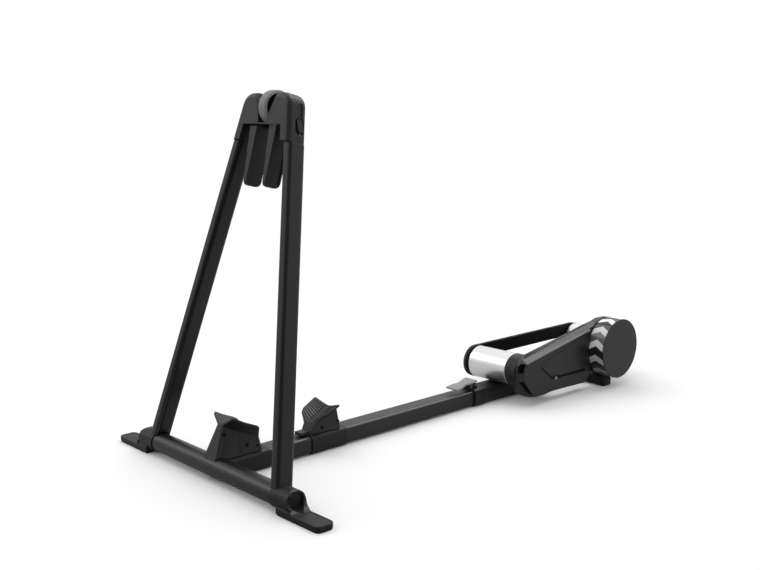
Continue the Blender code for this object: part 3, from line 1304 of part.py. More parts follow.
def make_outer_shell():
    """The outer cover: a broad chamfer along its top, vents round its boss and a recess for the panel."""
    rings = [
        [(HOUSING_SPLIT + FIT, y, z) for y, z in COVER_BASE],
        [(HOUSING_BEND, y, z) for y, z in COVER_BASE],
        [(HOUSING_FACE, y, z) for y, z in COVER_FACE],
    ]
    cover = finish(loft("housing_outer_shell", rings, faceted=True), "moulded_black", REAR_UNIT_SLIDE)
    beyond = HOUSING_FACE + 0.02
    behind = HOUSING_SPLIT - 0.01
    around = rod("shroud_clearance", SHROUD_RADIUS + FIT, behind, beyond, FLYWHEEL_PLACE, ROUND_STEPS)
    hollow = prism("cover_hollow", "X", behind, COVER_CAVITY_END, drawn_in(COVER_FACE, COVER_INSET))
    recess_line = list(RECESS_FRONT + RECESS_ISLAND + RECESS_BACK)
    recess = prism("panel_recess", "X", HOUSING_FACE - RECESS_DEPTH, beyond, recess_line)
    screw_well = rod(
        "screw_well", HOUSING_SCREW_RADIUS + FIT, HOUSING_FACE - SCREW_WELL_DEPTH, beyond, SCREW_PLACE
    )
    far_end = block("cover_far_end", (behind, COVER_END, 0), (beyond, COVER_END + 0.2, 0.3))
    side_end = block("cover_side_end", (SHROUD_FACE, COVER_SIDE_END, 0), (beyond, COVER_END + 0.1, 0.3))
    upper_vent = prism("upper_vent", "X", VENT_START, VENT_END, list(UPPER_VENT))
    lower_vent = prism("lower_vent", "X", VENT_START, VENT_END, list(LOWER_VENT_FRONT + LOWER_VENT_BACK))
    cut(cover, around, hollow, recess, screw_well, far_end, side_end, upper_vent, lower_vent)


def make_housing_trim():
    """The plain panel in the cover's recess, and the screw below it."""
    start = HOUSING_FACE - RECESS_DEPTH + FIT
    panel = prism("housing_panel", "X", start, start + PANEL_THICKNESS, list(PANEL_FRONT + PANEL_BACK))
    finish(panel, "deep_black", REAR_UNIT_SLIDE)
    start = HOUSING_FACE - SCREW_WELL_DEPTH + FIT
    screw = rod("housing_screw", HOUSING_SCREW_RADIUS, start, start + SCREW_HEAD_HEIGHT, SCREW_PLACE, 16)
    finish(screw, "steel", REAR_UNIT_SLIDE)


def make_roller_collar():
    """The ribbed collar between the front roller and the housing, which seats the near bearing."""
    end = HOUSING_INNER - FIT
    inner = COLLAR_RING_RADIUS - COLLAR_RING_WALL
    profile = [
        (end, COLLAR_RING_RADIUS),
        (COLLAR_RING_START, COLLAR_RING_RADIUS),
        (COLLAR_RING_START, inner),
        (COLLAR_WEB_START, inner),
        (COLLAR_WEB_START, SEAT_BORE),
        (end, SEAT_BORE),
    ]
    finish(turned("roller_collar", profile, FRONT_AXLE), "charcoal_plastic", REAR_UNIT_SLIDE)


def make_shroud():
    """The round end of the housing, behind the flywheel, with the shaft's bearing in its boss."""
    start = HOUSING_SPLIT + FIT
    edge = 0.002
    wall = SHROUD_FACE - SHROUD_WALL
    seat = SHAFT_BEARING_RADIUS + FIT
    profile = [
        (SHROUD_FACE, SHROUD_RADIUS - edge),
        (SHROUD_FACE - edge, SHROUD_RADIUS),
        (start, SHROUD_RADIUS),
        (start, SHROUD_RADIUS - SHROUD_RING_WALL),
        (wall, SHROUD_RADIUS - SHROUD_RING_WALL),
        (wall, seat + SHROUD_WALL),
        (wall - BEARING_WIDTH, seat + SHROUD_WALL),
        (wall - BEARING_WIDTH, seat),
        (SHROUD_FACE, seat),
    ]
    finish(turned("flywheel_shroud", profile, FLYWHEEL_PLACE, 56), "charcoal_plastic", REAR_UNIT_SLIDE)
    make_bearing(
        "flywheel_bearing", wall - BEARING_WIDTH, FLYWHEEL_PLACE, SHAFT_BEARING_RADIUS, SHAFT_RADIUS + FIT
    )


def make_flywheel():
    """A cup with a heavy rim and a thin cover disc, on a shaft with its own small pulley."""
    inner = FLYWHEEL_RADIUS - FLYWHEEL_RIM
    web = FLYWHEEL_OUTER - FLYWHEEL_WEB
    bore = SHAFT_RADIUS + FIT
    edge = 0.0008
    profile = [
        (FLYWHEEL_OUTER, FLYWHEEL_RADIUS),
        (FLYWHEEL_INNER + edge, FLYWHEEL_RADIUS),
        (FLYWHEEL_INNER, FLYWHEEL_RADIUS - edge),
        (FLYWHEEL_INNER, inner),
        (web, inner),
        (web, FLYWHEEL_HUB),
        (web - 0.012, FLYWHEEL_HUB),
        (web - 0.012, bore),
        (FLYWHEEL_OUTER, bore),
    ]
    finish(turned("flywheel_rotor", profile, (0, 0), 64), "banded_rim", FLYWHEEL_AXIS)
    face_start = FLYWHEEL_OUTER + FIT
    face = rod("flywheel_face", FACE_RADIUS, face_start, face_start + FACE_THICKNESS, (0, 0), 64)
    finish(face, "charcoal_face", FLYWHEEL_AXIS)
    shaft = rod("flywheel_shaft", SHAFT_RADIUS, DRIVE_BELT_START - 0.001, FLYWHEEL_OUTER - 0.0002)
    finish(shaft, "steel", FLYWHEEL_AXIS)
    join(shaft, rod("shaft_pulley", SHAFT_PULLEY_RADIUS, DRIVE_BELT_START - 0.0003, DRIVE_BELT_END + 0.0003))


def make_brake():
    """The brake's coil ring, fixed to the housing's round end inside the flywheel's cup."""
    start = SHROUD_FACE + FIT
    profile = [(COIL_END, COIL_RADIUS), (start, COIL_RADIUS), (start, COIL_BORE), (COIL_END, COIL_BORE)]
    finish(turned("brake_coil", profile, FLYWHEEL_PLACE, 40), "copper", REAR_UNIT_SLIDE)


def make_electronics():
    """The control board, flat against the inside of the cover, and the round power socket."""
    end = COVER_CAVITY_END - FIT
    (front, low), (back, high) = BOARD_CORNERS
    board = block("circuit_board", (end - BOARD_THICKNESS, front, low), (end, back, high))
    finish(board, "board_green", REAR_UNIT_SLIDE)
    end = HOUSING_INNER - FIT
    start = end - SOCKET_LENGTH
    profile = [(end, SOCKET_RADIUS), (start, SOCKET_RADIUS), (start, SOCKET_BORE), (end, SOCKET_BORE)]
    finish(turned("power_socket", profile, SOCKET_PLACE, SMALL_STEPS), "deep_black", REAR_UNIT_SLIDE)


def make_base():
    make_crossbar()
    make_rail()
    make_rail_socket()
    make_front_chock()
    for side in (LEFT, RIGHT):
        make_foot(side)


def make_a_frame():
    for side in (LEFT, RIGHT):
        make_leg(side)
        make_paddle(side)
    make_head()
    make_clamp_dial()


def make_rear_unit():
    make_rear_tube()
    make_lever()
    make_cradle()
    make_rear_foot()
    make_rollers()
    make_far_arm()
    make_belt(
        "link_belt",
        LINK_BELT_OUTER,
        LINK_BELT_INNER,
        FRONT_AXLE,
        LINK_PULLEY_RADIUS,
        REAR_AXLE,
        LINK_PULLEY_RADIUS,
    )
    make_roller_collar()
    make_inner_shell()
    make_outer_shell()
    make_housing_trim()
    make_belt(
        "drive_belt",
        DRIVE_BELT_START,
        DRIVE_BELT_END,
        FRONT_AXLE,
        DRIVE_PULLEY_RADIUS,
        FLYWHEEL_PLACE,
        SHAFT_PULLEY_RADIUS,
    )
    make_shroud()
    make_flywheel()
    make_brake()
    make_electronics()


make_base()
make_a_frame()
make_rear_chock()
make_chock_button()
make_rear_unit()
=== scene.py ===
# %% [markdown]
# # A roller trainer, dressed for a studio picture
# The shapes of this trainer come from its CAD model, which is loaded here as a fixed frame. Every tube,
# casting and roller is already there at its real size. What is left is the look: each surface gets the
# finish that a maker would give it, and a few fine pieces are added that a CAD model leaves out. The
# trainer could also be modelled anew for the picture, but then its joints would be lost, so finishes go on
# the CAD parts themselves.

# %% Load the frame
import math

import bmesh
import bpy
from mathutils import Matrix, Vector


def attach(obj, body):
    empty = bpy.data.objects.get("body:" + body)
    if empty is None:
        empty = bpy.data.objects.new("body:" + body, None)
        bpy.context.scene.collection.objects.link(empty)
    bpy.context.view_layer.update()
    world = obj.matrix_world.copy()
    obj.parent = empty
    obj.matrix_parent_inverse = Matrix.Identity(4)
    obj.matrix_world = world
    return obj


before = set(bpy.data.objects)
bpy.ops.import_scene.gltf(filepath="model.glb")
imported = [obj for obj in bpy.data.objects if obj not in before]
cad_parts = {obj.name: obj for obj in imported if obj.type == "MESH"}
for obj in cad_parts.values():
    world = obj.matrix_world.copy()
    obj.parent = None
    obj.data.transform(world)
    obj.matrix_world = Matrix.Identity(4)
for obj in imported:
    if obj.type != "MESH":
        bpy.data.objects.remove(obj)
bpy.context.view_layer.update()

# %% [markdown]
# ## The camera
# The picture is taken from the rider's front left and from a little above, with a lens of middling length.
# A camera can be aimed with a constraint or with angles. Here it is placed by its own three directions,
# where it looks, what is to its right and what is up, because two angles and one matrix leave nothing for
# Blender to guess.

# %% Place the camera
CAMERA_PLACE = Vector((1.8116, -1.9255, 0.8103))
CAMERA_YAW = math.radians(46.772)
CAMERA_PITCH = math.radians(9.670)
LENS_MM = 46.866
SENSOR_MM = 36

camera = bpy.data.objects.new("camera", bpy.data.cameras.new("camera"))
bpy.context.scene.collection.objects.link(camera)
camera.data.sensor_width = SENSOR_MM
camera.data.lens = LENS_MM
forward = Vector((
    -math.sin(CAMERA_YAW) * math.cos(CAMERA_PITCH),
    math.cos(CAMERA_YAW) * math.cos(CAMERA_PITCH),
    -math.sin(CAMERA_PITCH),
))
right = Vector((math.cos(CAMERA_YAW), math.sin(CAMERA_YAW), 0))
up = right.cross(forward)
turn = Matrix((right, up, -forward)).transposed().to_4x4()
camera.matrix_world = Matrix.Translation(CAMERA_PLACE) @ turn
bpy.context.scene.camera = camera
bpy.context.scene.view_settings.view_transform = "Standard"
print("camera at", tuple(round(c, 3) for c in CAMERA_PLACE))

# %% [markdown]
# ## Colour and nodes
# Colours are written as the hex values that a paint chart gives, and one function turns them into the
# linear light that a renderer works in. One more function adds a shader node with its settings and its
# links, so each finish below reads as a short recipe. Paint, nylon, ABS, acetal and rubber all have an IOR
# close to 1.5, which is the shader's own value, and metals keep it too, so no recipe sets it.


# %% Helpers for every material
def linear(hex_colour):
    """An sRGB hex colour as linear red, green, blue and an alpha of 1."""
    values = [int(hex_colour[i:i + 2], 16) / 255 for i in (1, 3, 5)]
    return [v / 12.92 if v <= 0.04045 else ((v + 0.055) / 1.055) ** 2.4 for v in values] + [1]


def add(tree, kind, settings=None, values=None, links=None):
    """Adds a node: its properties, the values of its sockets, and the sockets that feed it."""
    node = tree.nodes.new(kind)
    for name, value in (settings or {}).items():
        setattr(node, name, value)
    for socket, value in (values or {}).items():
        node.inputs[socket].default_value = value
    for socket, source in (links or {}).items():
        tree.links.new(source, node.inputs[socket])
    return node


def start_finish(name, hex_colour, roughness, metallic=0.0):
    """A new material with one Principled shader, and its tree, shader and object coordinates."""
    material = bpy.data.materials.new(name)
    material.use_nodes = True
    tree = material.node_tree
    shader = tree.nodes["Principled BSDF"]
    shader.inputs["Base Color"].default_value = linear(hex_colour)
    shader.inputs["Roughness"].default_value = roughness
    shader.inputs["Metallic"].default_value = metallic
    place = add(tree, "ShaderNodeTexCoord").outputs["Object"]
    return material, tree, shader, place


print("dark grey #151516 in linear light:", [round(v, 4) for v in linear("#151516")])

# %% [markdown]
# ## Grain
# Nearly every part here is black, and what tells nylon from paint is its grain. It could be an image or a
# displacement; a noise does it with three links, at any distance. The same noise tints the colour, spreads
# the roughness and dents the surface, because a real dent changes all three. Moulds and paint also round
# every edge by about a millimetre, and a Bevel node gives the CAD's sharp edges that glint. Most real
# grains are 0.1 to 0.5 mm wide, which is too fine for a picture of the whole trainer, so they are drawn
# about 1 mm wide where no text says more.

# %% Grain, and how a finish is put on
MM = 0.001
EDGE_RADIUS = 1.2 * MM
EDGE_SAMPLES = 4
GRAIN_DETAIL = 3
# A Mix node keeps its number sockets before its colour sockets, so both are named by their place.
NUMBER_A, NUMBER_B = 2, 3
COLOUR_A, COLOUR_B, COLOUR_OUT = 6, 7, 2


def grain(tree, shader, place, size_mm, height_mm, dark, light, rough):
    """A fine random texture: it tints the colour, spreads the roughness and dents the surface."""
    scale = 1 / (size_mm * MM)
    sizes = {"Scale": scale, "Detail": GRAIN_DETAIL}
    noise = add(tree, "ShaderNodeTexNoise", values=sizes, links={"Vector": place})
    height = noise.outputs["Fac"]
    ends = {COLOUR_A: linear(dark), COLOUR_B: linear(light)}
    tint = add(tree, "ShaderNodeMix", {"data_type": "RGBA"}, ends, {0: height})
    tree.links.new(tint.outputs[COLOUR_OUT], shader.inputs["Base Color"])
    limits = {"To Min": rough[0], "To Max": rough[1]}
    spread = add(tree, "ShaderNodeMapRange", values=limits, links={0: height})
    tree.links.new(spread.outputs[0], shader.inputs["Roughness"])
    soft_edge = add(tree, "ShaderNodeBevel", {"samples": EDGE_SAMPLES}, {"Radius": EDGE_RADIUS})
    bump = add(
        tree, "ShaderNodeBump", values={"Distance": height_mm * MM, "Strength": 1},
        links={"Height": height, "Normal": soft_edge.outputs[0]},
    )
    tree.links.new(bump.outputs["Normal"], shader.inputs["Normal"])


def dress(material, *node_names):
    """Gives CAD nodes a finish."""
    for name in node_names:
        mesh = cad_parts[name].data
        mesh.materials.clear()
        mesh.materials.append(material)
    print(material.name, "on", ", ".join(node_names))


# %% [markdown]
# ## Powder-coated steel tube
# The crossbar, the rail, the legs and the rear tube are steel tubes with a satin black powder coat. The
# powder melts into a skin with a faint orange peel, waves a millimetre or two wide, that breaks up the
# highlights along the edges. A clear coat layer could stand for the skin. A noise of the waves' real size
# gives the same soft glint with one layer less, because powder has no clear layer of its own.

# %% Powder coat
powder, tree, shader, place = start_finish("powder_coated_steel", "#101011", 0.34)
grain(tree, shader, place, size_mm=1.6, height_mm=0.02, dark="#0e0e0f", light="#131314", rough=(0.30, 0.38))
dress(powder, "crossbar", "rail_tube", "rear_tube", "leg_left", "leg_right")

# %% [markdown]
# ## Painted castings
# The feet, the collars, the socket and the cross-members are cast aluminium under a matt black paint. A
# casting is rougher than a tube, because a blasted die leaves a grain of about half a millimetre. It could
# be sculpted, but paint fills most of it, so a bump of 0.05 mm is enough; it is drawn 0.9 mm wide to show.
# Matt paint also mirrors less than plastic, and the shader's specular level comes down for that.

# %% Painted casting
casting, tree, shader, place = start_finish("painted_aluminium_casting", "#131315", 0.48)
grain(tree, shader, place, size_mm=0.9, height_mm=0.05, dark="#0f0f10", light="#18181a", rough=(0.40, 0.54))
shader.inputs["Specular IOR Level"].default_value = 0.35
dress(
    casting, "foot_left", "foot_right", "leg_collar_left", "leg_collar_right", "rail_socket",
    "rear_chock_sleeve", "clamp_collar", "front_cradle",
)

# %% [markdown]
# ## Moulded nylon
# The chocks, the head with its paddles, and the drive housing are injection moulded in glass-filled nylon.
# The mould is spark eroded, which leaves an even, fine, matt texture. A cell texture would give sharp
# grains; the eroded steel is soft all over, as a noise is. Its real grain is about 0.2 mm, and it is drawn
# at 0.7 mm.

# %% Moulded nylon
nylon, tree, shader, place = start_finish("moulded_glass_filled_nylon", "#151516", 0.46)
grain(tree, shader, place, size_mm=0.7, height_mm=0.04, dark="#111112", light="#1a1a1b", rough=(0.40, 0.50))
dress(
    nylon, "front_chock", "rear_chock", "head_front_shell", "head_rear_shell", "housing_inner_shell",
    "housing_outer_shell", "roller_collar", "chock_button", "paddle_left", "paddle_right", "housing_panel",
)

# %% [markdown]
# ## Soft rubber
# The soles under the feet, the pads and the rear cross-foot's grip are moulded rubber: nearly black and
# dull, with a dusty bloom in patches a few millimetres wide. Sheen could give the dust at grazing angles.
# The bloom lies flat on the floor's side here, so a wide noise in the colour and a high roughness are
# enough.

# %% Rubber
rubber, tree, shader, place = start_finish("moulded_rubber", "#121212", 0.8)
grain(tree, shader, place, size_mm=2.5, height_mm=0.03, dark="#0e0e0e", light="#171717", rough=(0.74, 0.88))
dress(rubber, "sole_left", "sole_right", "rear_pad_left", "rear_pad_right", "rear_cross_foot")

# %% [markdown]
# ## Grey ABS and the lever's paint
# The thumbwheel is moulded in mid-grey ABS, so that a rider finds it among the black parts. The release
# lever is a zinc casting in pale grey paint. Both could share one grey. They are two recipes, because ABS
# is a little rougher and warmer to the eye, and the paint has flowed smooth before it set.

# %% Thumbwheel and lever
abs_grey, tree, shader, place = start_finish("moulded_grey_abs", "#8b8b8b", 0.42)
grain(tree, shader, place, size_mm=0.8, height_mm=0.03, dark="#848484", light="#949494", rough=(0.38, 0.5))
dress(abs_grey, "clamp_dial")
lever_paint, tree, shader, place = start_finish("painted_zinc_casting", "#87888a", 0.4)
grain(tree, shader, place, size_mm=1.2, height_mm=0.02, dark="#828385", light="#8c8d8f", rough=(0.34, 0.46))
dress(lever_paint, "clamp_lever")

# %% [markdown]
# ## Anodised aluminium drums
# The rollers are turned from aluminium tube and anodised in natural silver. A lathe leaves rings about 0.1
# mm apart, so fine that they only soften the highlight. An anisotropic shader could stretch it, but
# anodising blunts the rings, and a plain gloss with rings in it comes closer. They are drawn 0.5 mm apart:
# a noise that changes fast along the roller's axis and hardly at all across it.

# %% Turned and anodised aluminium
RING_PITCH = 0.5 * MM
ACROSS_SCALE = 8
RING_DEPTH = 0.004 * MM
RING_ROUGHNESS = (0.28, 0.36)
anodised, tree, shader, place = start_finish("turned_anodised_aluminium", "#eceded", 0.32, 1.0)
stretches = {1: (1 / RING_PITCH, ACROSS_SCALE, ACROSS_SCALE)}
stretch = add(tree, "ShaderNodeVectorMath", {"operation": "MULTIPLY"}, stretches, {0: place})
sizes = {"Scale": 1.0, "Detail": 2}
rings = add(tree, "ShaderNodeTexNoise", values=sizes, links={"Vector": stretch.outputs[0]}).outputs["Fac"]
limits = {"To Min": RING_ROUGHNESS[0], "To Max": RING_ROUGHNESS[1]}
spread = add(tree, "ShaderNodeMapRange", values=limits, links={0: rings})
tree.links.new(spread.outputs[0], shader.inputs["Roughness"])
depth = {"Distance": RING_DEPTH, "Strength": 1}
bump = add(tree, "ShaderNodeBump", values=depth, links={"Height": rings})
tree.links.new(bump.outputs["Normal"], shader.inputs["Normal"])
dress(anodised, "front_roller_drum", "rear_roller_drum")

# %% [markdown]
# ## Plated steel, brass, copper and the board
# Shafts, pins and bearings are zinc-plated steel. The clamp's nuts are machined brass, the brake is wound
# with enamelled copper wire, and the circuit board is green glass fibre. They are mostly hidden, and could
# do with one grey. Each still has its finish, because a reader may open the housing. The winding alone has
# a pattern: rings about a millimetre apart, from a wave texture round the coil's axis. The board's glass
# weave is really half a millimetre wide and is drawn at 3 mm.

# %% Plated steel and the hidden materials
WIRE_WAVES = 300.0
WIRE_HEIGHT = 0.3 * MM
steel, tree, shader, place = start_finish("zinc_plated_steel", "#a9abad", 0.3, 1.0)
grain(tree, shader, place, size_mm=1.5, height_mm=0.005, dark="#a0a2a4", light="#b4b6b8", rough=(0.24, 0.38))
dress(
    steel, "lead_screw", "lever_pin", "housing_screw", "flywheel_shaft", "flywheel_bearing",
    "front_roller_axle", "front_roller_far_bearing", "front_roller_near_bearing",
    "rear_roller_axle", "rear_roller_far_bearing", "rear_roller_near_bearing",
)
brass, tree, shader, place = start_finish("machined_brass", "#b5954f", 0.3, 1.0)
grain(tree, shader, place, size_mm=1.0, height_mm=0.005, dark="#ab8b47", light="#bf9f5a", rough=(0.25, 0.36))
dress(brass, "clamp_nut_left", "clamp_nut_right")
copper, tree, shader, place = start_finish("enamelled_copper_winding", "#a4572f", 0.35, 1.0)
round_x = {"wave_type": "RINGS", "rings_direction": "X"}
turns = add(tree, "ShaderNodeTexWave", round_x, {"Scale": WIRE_WAVES}, {"Vector": place})
depth = {"Distance": WIRE_HEIGHT, "Strength": 1}
bump = add(tree, "ShaderNodeBump", values=depth, links={"Height": turns.outputs["Fac"]})
tree.links.new(bump.outputs["Normal"], shader.inputs["Normal"])
dress(copper, "brake_coil")
board, tree, shader, place = start_finish("green_glass_fibre_board", "#1f5a35", 0.4)
grain(tree, shader, place, size_mm=3.0, height_mm=0.02, dark="#194d2c", light="#28693f", rough=(0.3, 0.5))
dress(board, "circuit_board")

# %% [markdown]
# ## Belts, pulleys and the far plate
# The belts are ribbed rubber. The pulleys are machined from black acetal, which is a little waxy. The plate
# at the rollers' far end is steel under a deep black, finely speckled coat. It could be the powder coat once
# more, but this one swallows more light, so both its colour and its mirror are weaker. The caps in the head's
# sides are given the same black as painted shade: it shows round the plates laid on them and stands for the
# shade in their recesses.

# %% Belts, pulleys and plate
belt, tree, shader, place = start_finish("ribbed_belt_rubber", "#3b3b3c", 0.6)
grain(tree, shader, place, size_mm=1.0, height_mm=0.05, dark="#343435", light="#434344", rough=(0.52, 0.7))
dress(belt, "link_belt", "drive_belt")
acetal, tree, shader, place = start_finish("machined_acetal", "#161616", 0.38)
grain(tree, shader, place, size_mm=1.2, height_mm=0.01, dark="#131313", light="#1a1a1a", rough=(0.32, 0.44))
dress(acetal, "front_roller_link_pulley", "rear_roller_link_pulley", "front_drive_pulley", "power_socket")
plate, tree, shader, place = start_finish("deep_black_coat_and_painted_shade", "#060606", 0.62)
grain(tree, shader, place, size_mm=1.1, height_mm=0.08, dark="#030303", light="#0a0a0a", rough=(0.55, 0.75))
shader.inputs["Specular IOR Level"].default_value = 0.2
# On the head caps this black is painted shade for their recesses.
dress(plate, "far_arm", "head_cap_left", "head_cap_right")

# %% [markdown]
# ## The flywheel's face and shroud
# The flywheel is an iron cup with a charcoal-coated face. It runs in a shroud of ABS with metal flakes in
# it. Real flakes are separate mirrors, which a cell texture could give one by one. They are 0.1 mm wide, so
# from here only an uneven sparkle is left, and a grain with a wide span between dark and light shows just
# that.

# %% Flywheel face and shroud
charcoal, tree, shader, place = start_finish("charcoal_coated_iron", "#1b1b1d", 0.45)
grain(tree, shader, place, size_mm=1.2, height_mm=0.03, dark="#171719", light="#202022", rough=(0.4, 0.52))
dress(charcoal, "flywheel_face")
shroud, tree, shader, place = start_finish("metal_flake_abs", "#2c2c2e", 0.42)
grain(tree, shader, place, size_mm=1.0, height_mm=0.03, dark="#1d1d1f", light="#48484b", rough=(0.36, 0.5))
dress(shroud, "flywheel_shroud")

# %% [markdown]
# ## The flywheel's printed band
# Round the rim runs a printed band of chevrons in greys and black, a common pattern that makes the spin
# visible. It could be an image wrapped round the rim. Here it is worked out from two numbers, the angle round
# the axle and the distance from the rim's middle, so it has sharp edges at any distance and turns with the
# rim. Angle minus distance is the same all along an arm, which makes the chevrons; the angle alone tells
# which ground lies between them. Six plain greys are enough: the arms fade out round the rim, and the ground
# goes from slate to black. These greys are partly the print's inks and partly painted shade: arms and ground
# near the top of the rim are lighter, and those turned down towards the front are darker, as light falls on
# them.

# %% Chevron band
FLYWHEEL_PLACE = (0.5885, 0.1219)
RIM_MIDDLE_X = 0.1632
RIM_RADIUS = 0.0876
CELL = math.radians(30)
CELLS = 6
FIRST_APEX = math.radians(66)
BRIGHT_SHARE = 13 / 30
STRAIGHT_LEAD = math.radians(4.5)
GROUND_SPLIT = 0.53
CHEVRON_SLOPE = 0.58
WHITE, PALE, SILVER = "#f0f0f0", "#d0d0d0", "#a8a8a8"
GREY, SLATE, BLACK = "#707070", "#505050", "#161616"
# Partly the print's inks, partly painted shade: lighter near the rim's top, darker where the rim turns down.
ARM_INKS_AND_SHADE = (PALE, WHITE, PALE, PALE, SILVER, GREY)
GROUND_ABOVE_INKS_AND_SHADE = (SLATE, SLATE, SLATE, SLATE, BLACK, BLACK)
GROUND_BELOW_INKS_AND_SHADE = (BLACK, BLACK, GREY, BLACK, BLACK, BLACK)
ARM_EDGES = [i / CELLS for i in range(CELLS)]
GROUND_EDGES = [(i + half) / CELLS for i in range(CELLS) for half in (0, GROUND_SPLIT)]
GROUND_INKS_AND_SHADE = [colour for pair in zip(GROUND_ABOVE_INKS_AND_SHADE, GROUND_BELOW_INKS_AND_SHADE) for colour in pair]
MATHS = "ShaderNodeMath"
LESS = {"operation": "SUBTRACT"}
OVER = {"operation": "DIVIDE"}
FRACTION = {"operation": "FRACT"}

chevrons, tree, shader, place = start_finish("printed_chevron_band_with_painted_shade", "#808080", 0.5)
parts = add(tree, "ShaderNodeSeparateXYZ", links={0: place})
back = add(tree, MATHS, LESS, {1: FLYWHEEL_PLACE[0]}, {0: parts.outputs["Y"]})
rise = add(tree, MATHS, LESS, {1: FLYWHEEL_PLACE[1]}, {0: parts.outputs["Z"]})
angle = add(tree, MATHS, {"operation": "ARCTAN2"}, links={0: rise.outputs[0], 1: back.outputs[0]})
off = add(tree, MATHS, LESS, {1: RIM_MIDDLE_X}, {0: parts.outputs["X"]})
away = add(tree, MATHS, {"operation": "ABSOLUTE"}, links={0: off.outputs[0]})
lag = add(tree, MATHS, {"operation": "MULTIPLY"}, {1: CHEVRON_SLOPE / RIM_RADIUS}, {0: away.outputs[0]})
phase = add(tree, MATHS, LESS, links={0: angle.outputs[0], 1: lag.outputs[0]})
from_apex = add(tree, MATHS, LESS, {1: FIRST_APEX}, {0: phase.outputs[0]})
cells_down = add(tree, MATHS, OVER, {1: CELL}, {0: from_apex.outputs[0]})
in_cell = add(tree, MATHS, FRACTION, links={0: cells_down.outputs[0]})
bright = add(tree, MATHS, {"operation": "LESS_THAN"}, {1: BRIGHT_SHARE}, {0: in_cell.outputs[0]})
arm_turn = add(tree, MATHS, OVER, {1: CELLS}, {0: cells_down.outputs[0]})
arm_share = add(tree, MATHS, FRACTION, links={0: arm_turn.outputs[0]})
straight = add(tree, MATHS, LESS, {1: FIRST_APEX - STRAIGHT_LEAD}, {0: angle.outputs[0]})
straight_turn = add(tree, MATHS, OVER, {1: CELL * CELLS}, {0: straight.outputs[0]})
straight_share = add(tree, MATHS, FRACTION, links={0: straight_turn.outputs[0]})
colours = []
for share, hex_colours, edges in (
    (arm_share, ARM_INKS_AND_SHADE, ARM_EDGES),
    (straight_share, GROUND_INKS_AND_SHADE, GROUND_EDGES),
):
    node = add(tree, "ShaderNodeValToRGB", links={0: share.outputs[0]})
    ramp = node.color_ramp
    ramp.interpolation = "CONSTANT"
    while len(ramp.elements) < len(hex_colours):
        ramp.elements.new(0.5)
    for element, edge, hex_colour in zip(ramp.elements, edges, hex_colours):
        element.position = edge
        element.color = linear(hex_colour)
    colours.append(node.outputs["Color"])
arm, ground = colours
picks = {0: bright.outputs[0], COLOUR_A: ground, COLOUR_B: arm}
band = add(tree, "ShaderNodeMix", {"data_type": "RGBA"}, links=picks)
tree.links.new(band.outputs[COLOUR_OUT], shader.inputs["Base Color"])
dress(chevrons, "flywheel_rotor")

# %% [markdown]
# ## Fine pieces: how they are made
# What is still missing are the small forms that a CAD model leaves out: ribs, teeth, rings and knurls.
# Arrays of a modelled cube could make them. Here each one is a bar with a trapezoid section, because
# moulded and machined ribs are always a little narrower at their top, and it is laid straight between two
# points of the part that it grows from. One function lays such a bar, and one turns a ring out of a
# profile.

# %% Helpers for the fine pieces
SHARP_ANGLE = math.radians(40)
# How far a rib's end slopes in, in shares of its height.
RIB_RUN_IN = 0.6


def add_piece(name, work, material, body, smooth=False):
    """Makes an object out of the bmesh, gives it a finish and lets it ride on a body."""
    bmesh.ops.recalc_face_normals(work, faces=work.faces)
    mesh = bpy.data.meshes.new(name)
    work.to_mesh(mesh)
    work.free()
    if smooth:
        mesh.shade_smooth()
        mesh.set_sharp_from_angle(angle=SHARP_ANGLE)
    mesh.materials.append(material)
    piece = bpy.data.objects.new(name, mesh)
    bpy.context.scene.collection.objects.link(piece)
    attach(piece, body)
    print(name, "with", len(mesh.polygons), "faces, rides on", body)


def add_skin(work, rings, closed=False):
    """Joins rings of points by faces, and closes the skin on itself or with a face at each end."""
    rings = [[work.verts.new(point) for point in ring] for ring in rings]
    count = len(rings[0])
    for one, two in zip(rings, rings[1:] + rings[:1] if closed else rings[1:]):
        for i in range(count):
            k = (i + 1) % count
            work.faces.new((one[i], one[k], two[k], two[i]))
    if not closed:
        work.faces.new(list(reversed(rings[0])))
        work.faces.new(rings[-1])


def add_rib(work, start, end, out, size):
    """A bar from start to end, standing out along a direction. Its size is width, top width and height."""
    width, top_width, height = size
    start, end, out = Vector(start), Vector(end), Vector(out)
    along = (end - start).normalized()
    out = (out - along * out.dot(along)).normalized()
    side = along.cross(out)
    run_in = along * (height * RIB_RUN_IN)
    rings = []
    for foot, shift in ((start, run_in), (end, -run_in)):
        top = foot + shift + out * height
        ring = [foot - side * (width / 2), foot + side * (width / 2)]
        rings.append(ring + [top + side * (top_width / 2), top - side * (top_width / 2)])
    add_skin(work, rings)


def add_turned(work, profile, centre, count):
    """A closed ring round an axle along X, out of (x, radius) points."""
    rings = []
    for i in range(count):
        turn = math.tau * i / count
        way = (math.cos(turn), math.sin(turn))
        rings.append([(x, centre[0] + radius * way[0], centre[1] + radius * way[1]) for x, radius in profile])
    add_skin(work, rings, closed=True)


def between(one, two, share):
    """The numbers that lie between two rows of numbers."""
    return tuple(a + (b - a) * share for a, b in zip(one, two))


# %% [markdown]
# ## Ribs in the rear chock
# The inner faces of the rear chock's wings carry upright ribs, moulded with the chock, which stop the tyre
# from sliding. A bump could only shade them, and the wing's edge shows them in outline, so they are real
# bars. Each rib runs up the wing from the groove to just below its edge, between the chock's front and back
# section.

# %% Rear chock ribs
CROSSBAR_Y = -0.7345
CHOCK_BASE_Z = 0.0496
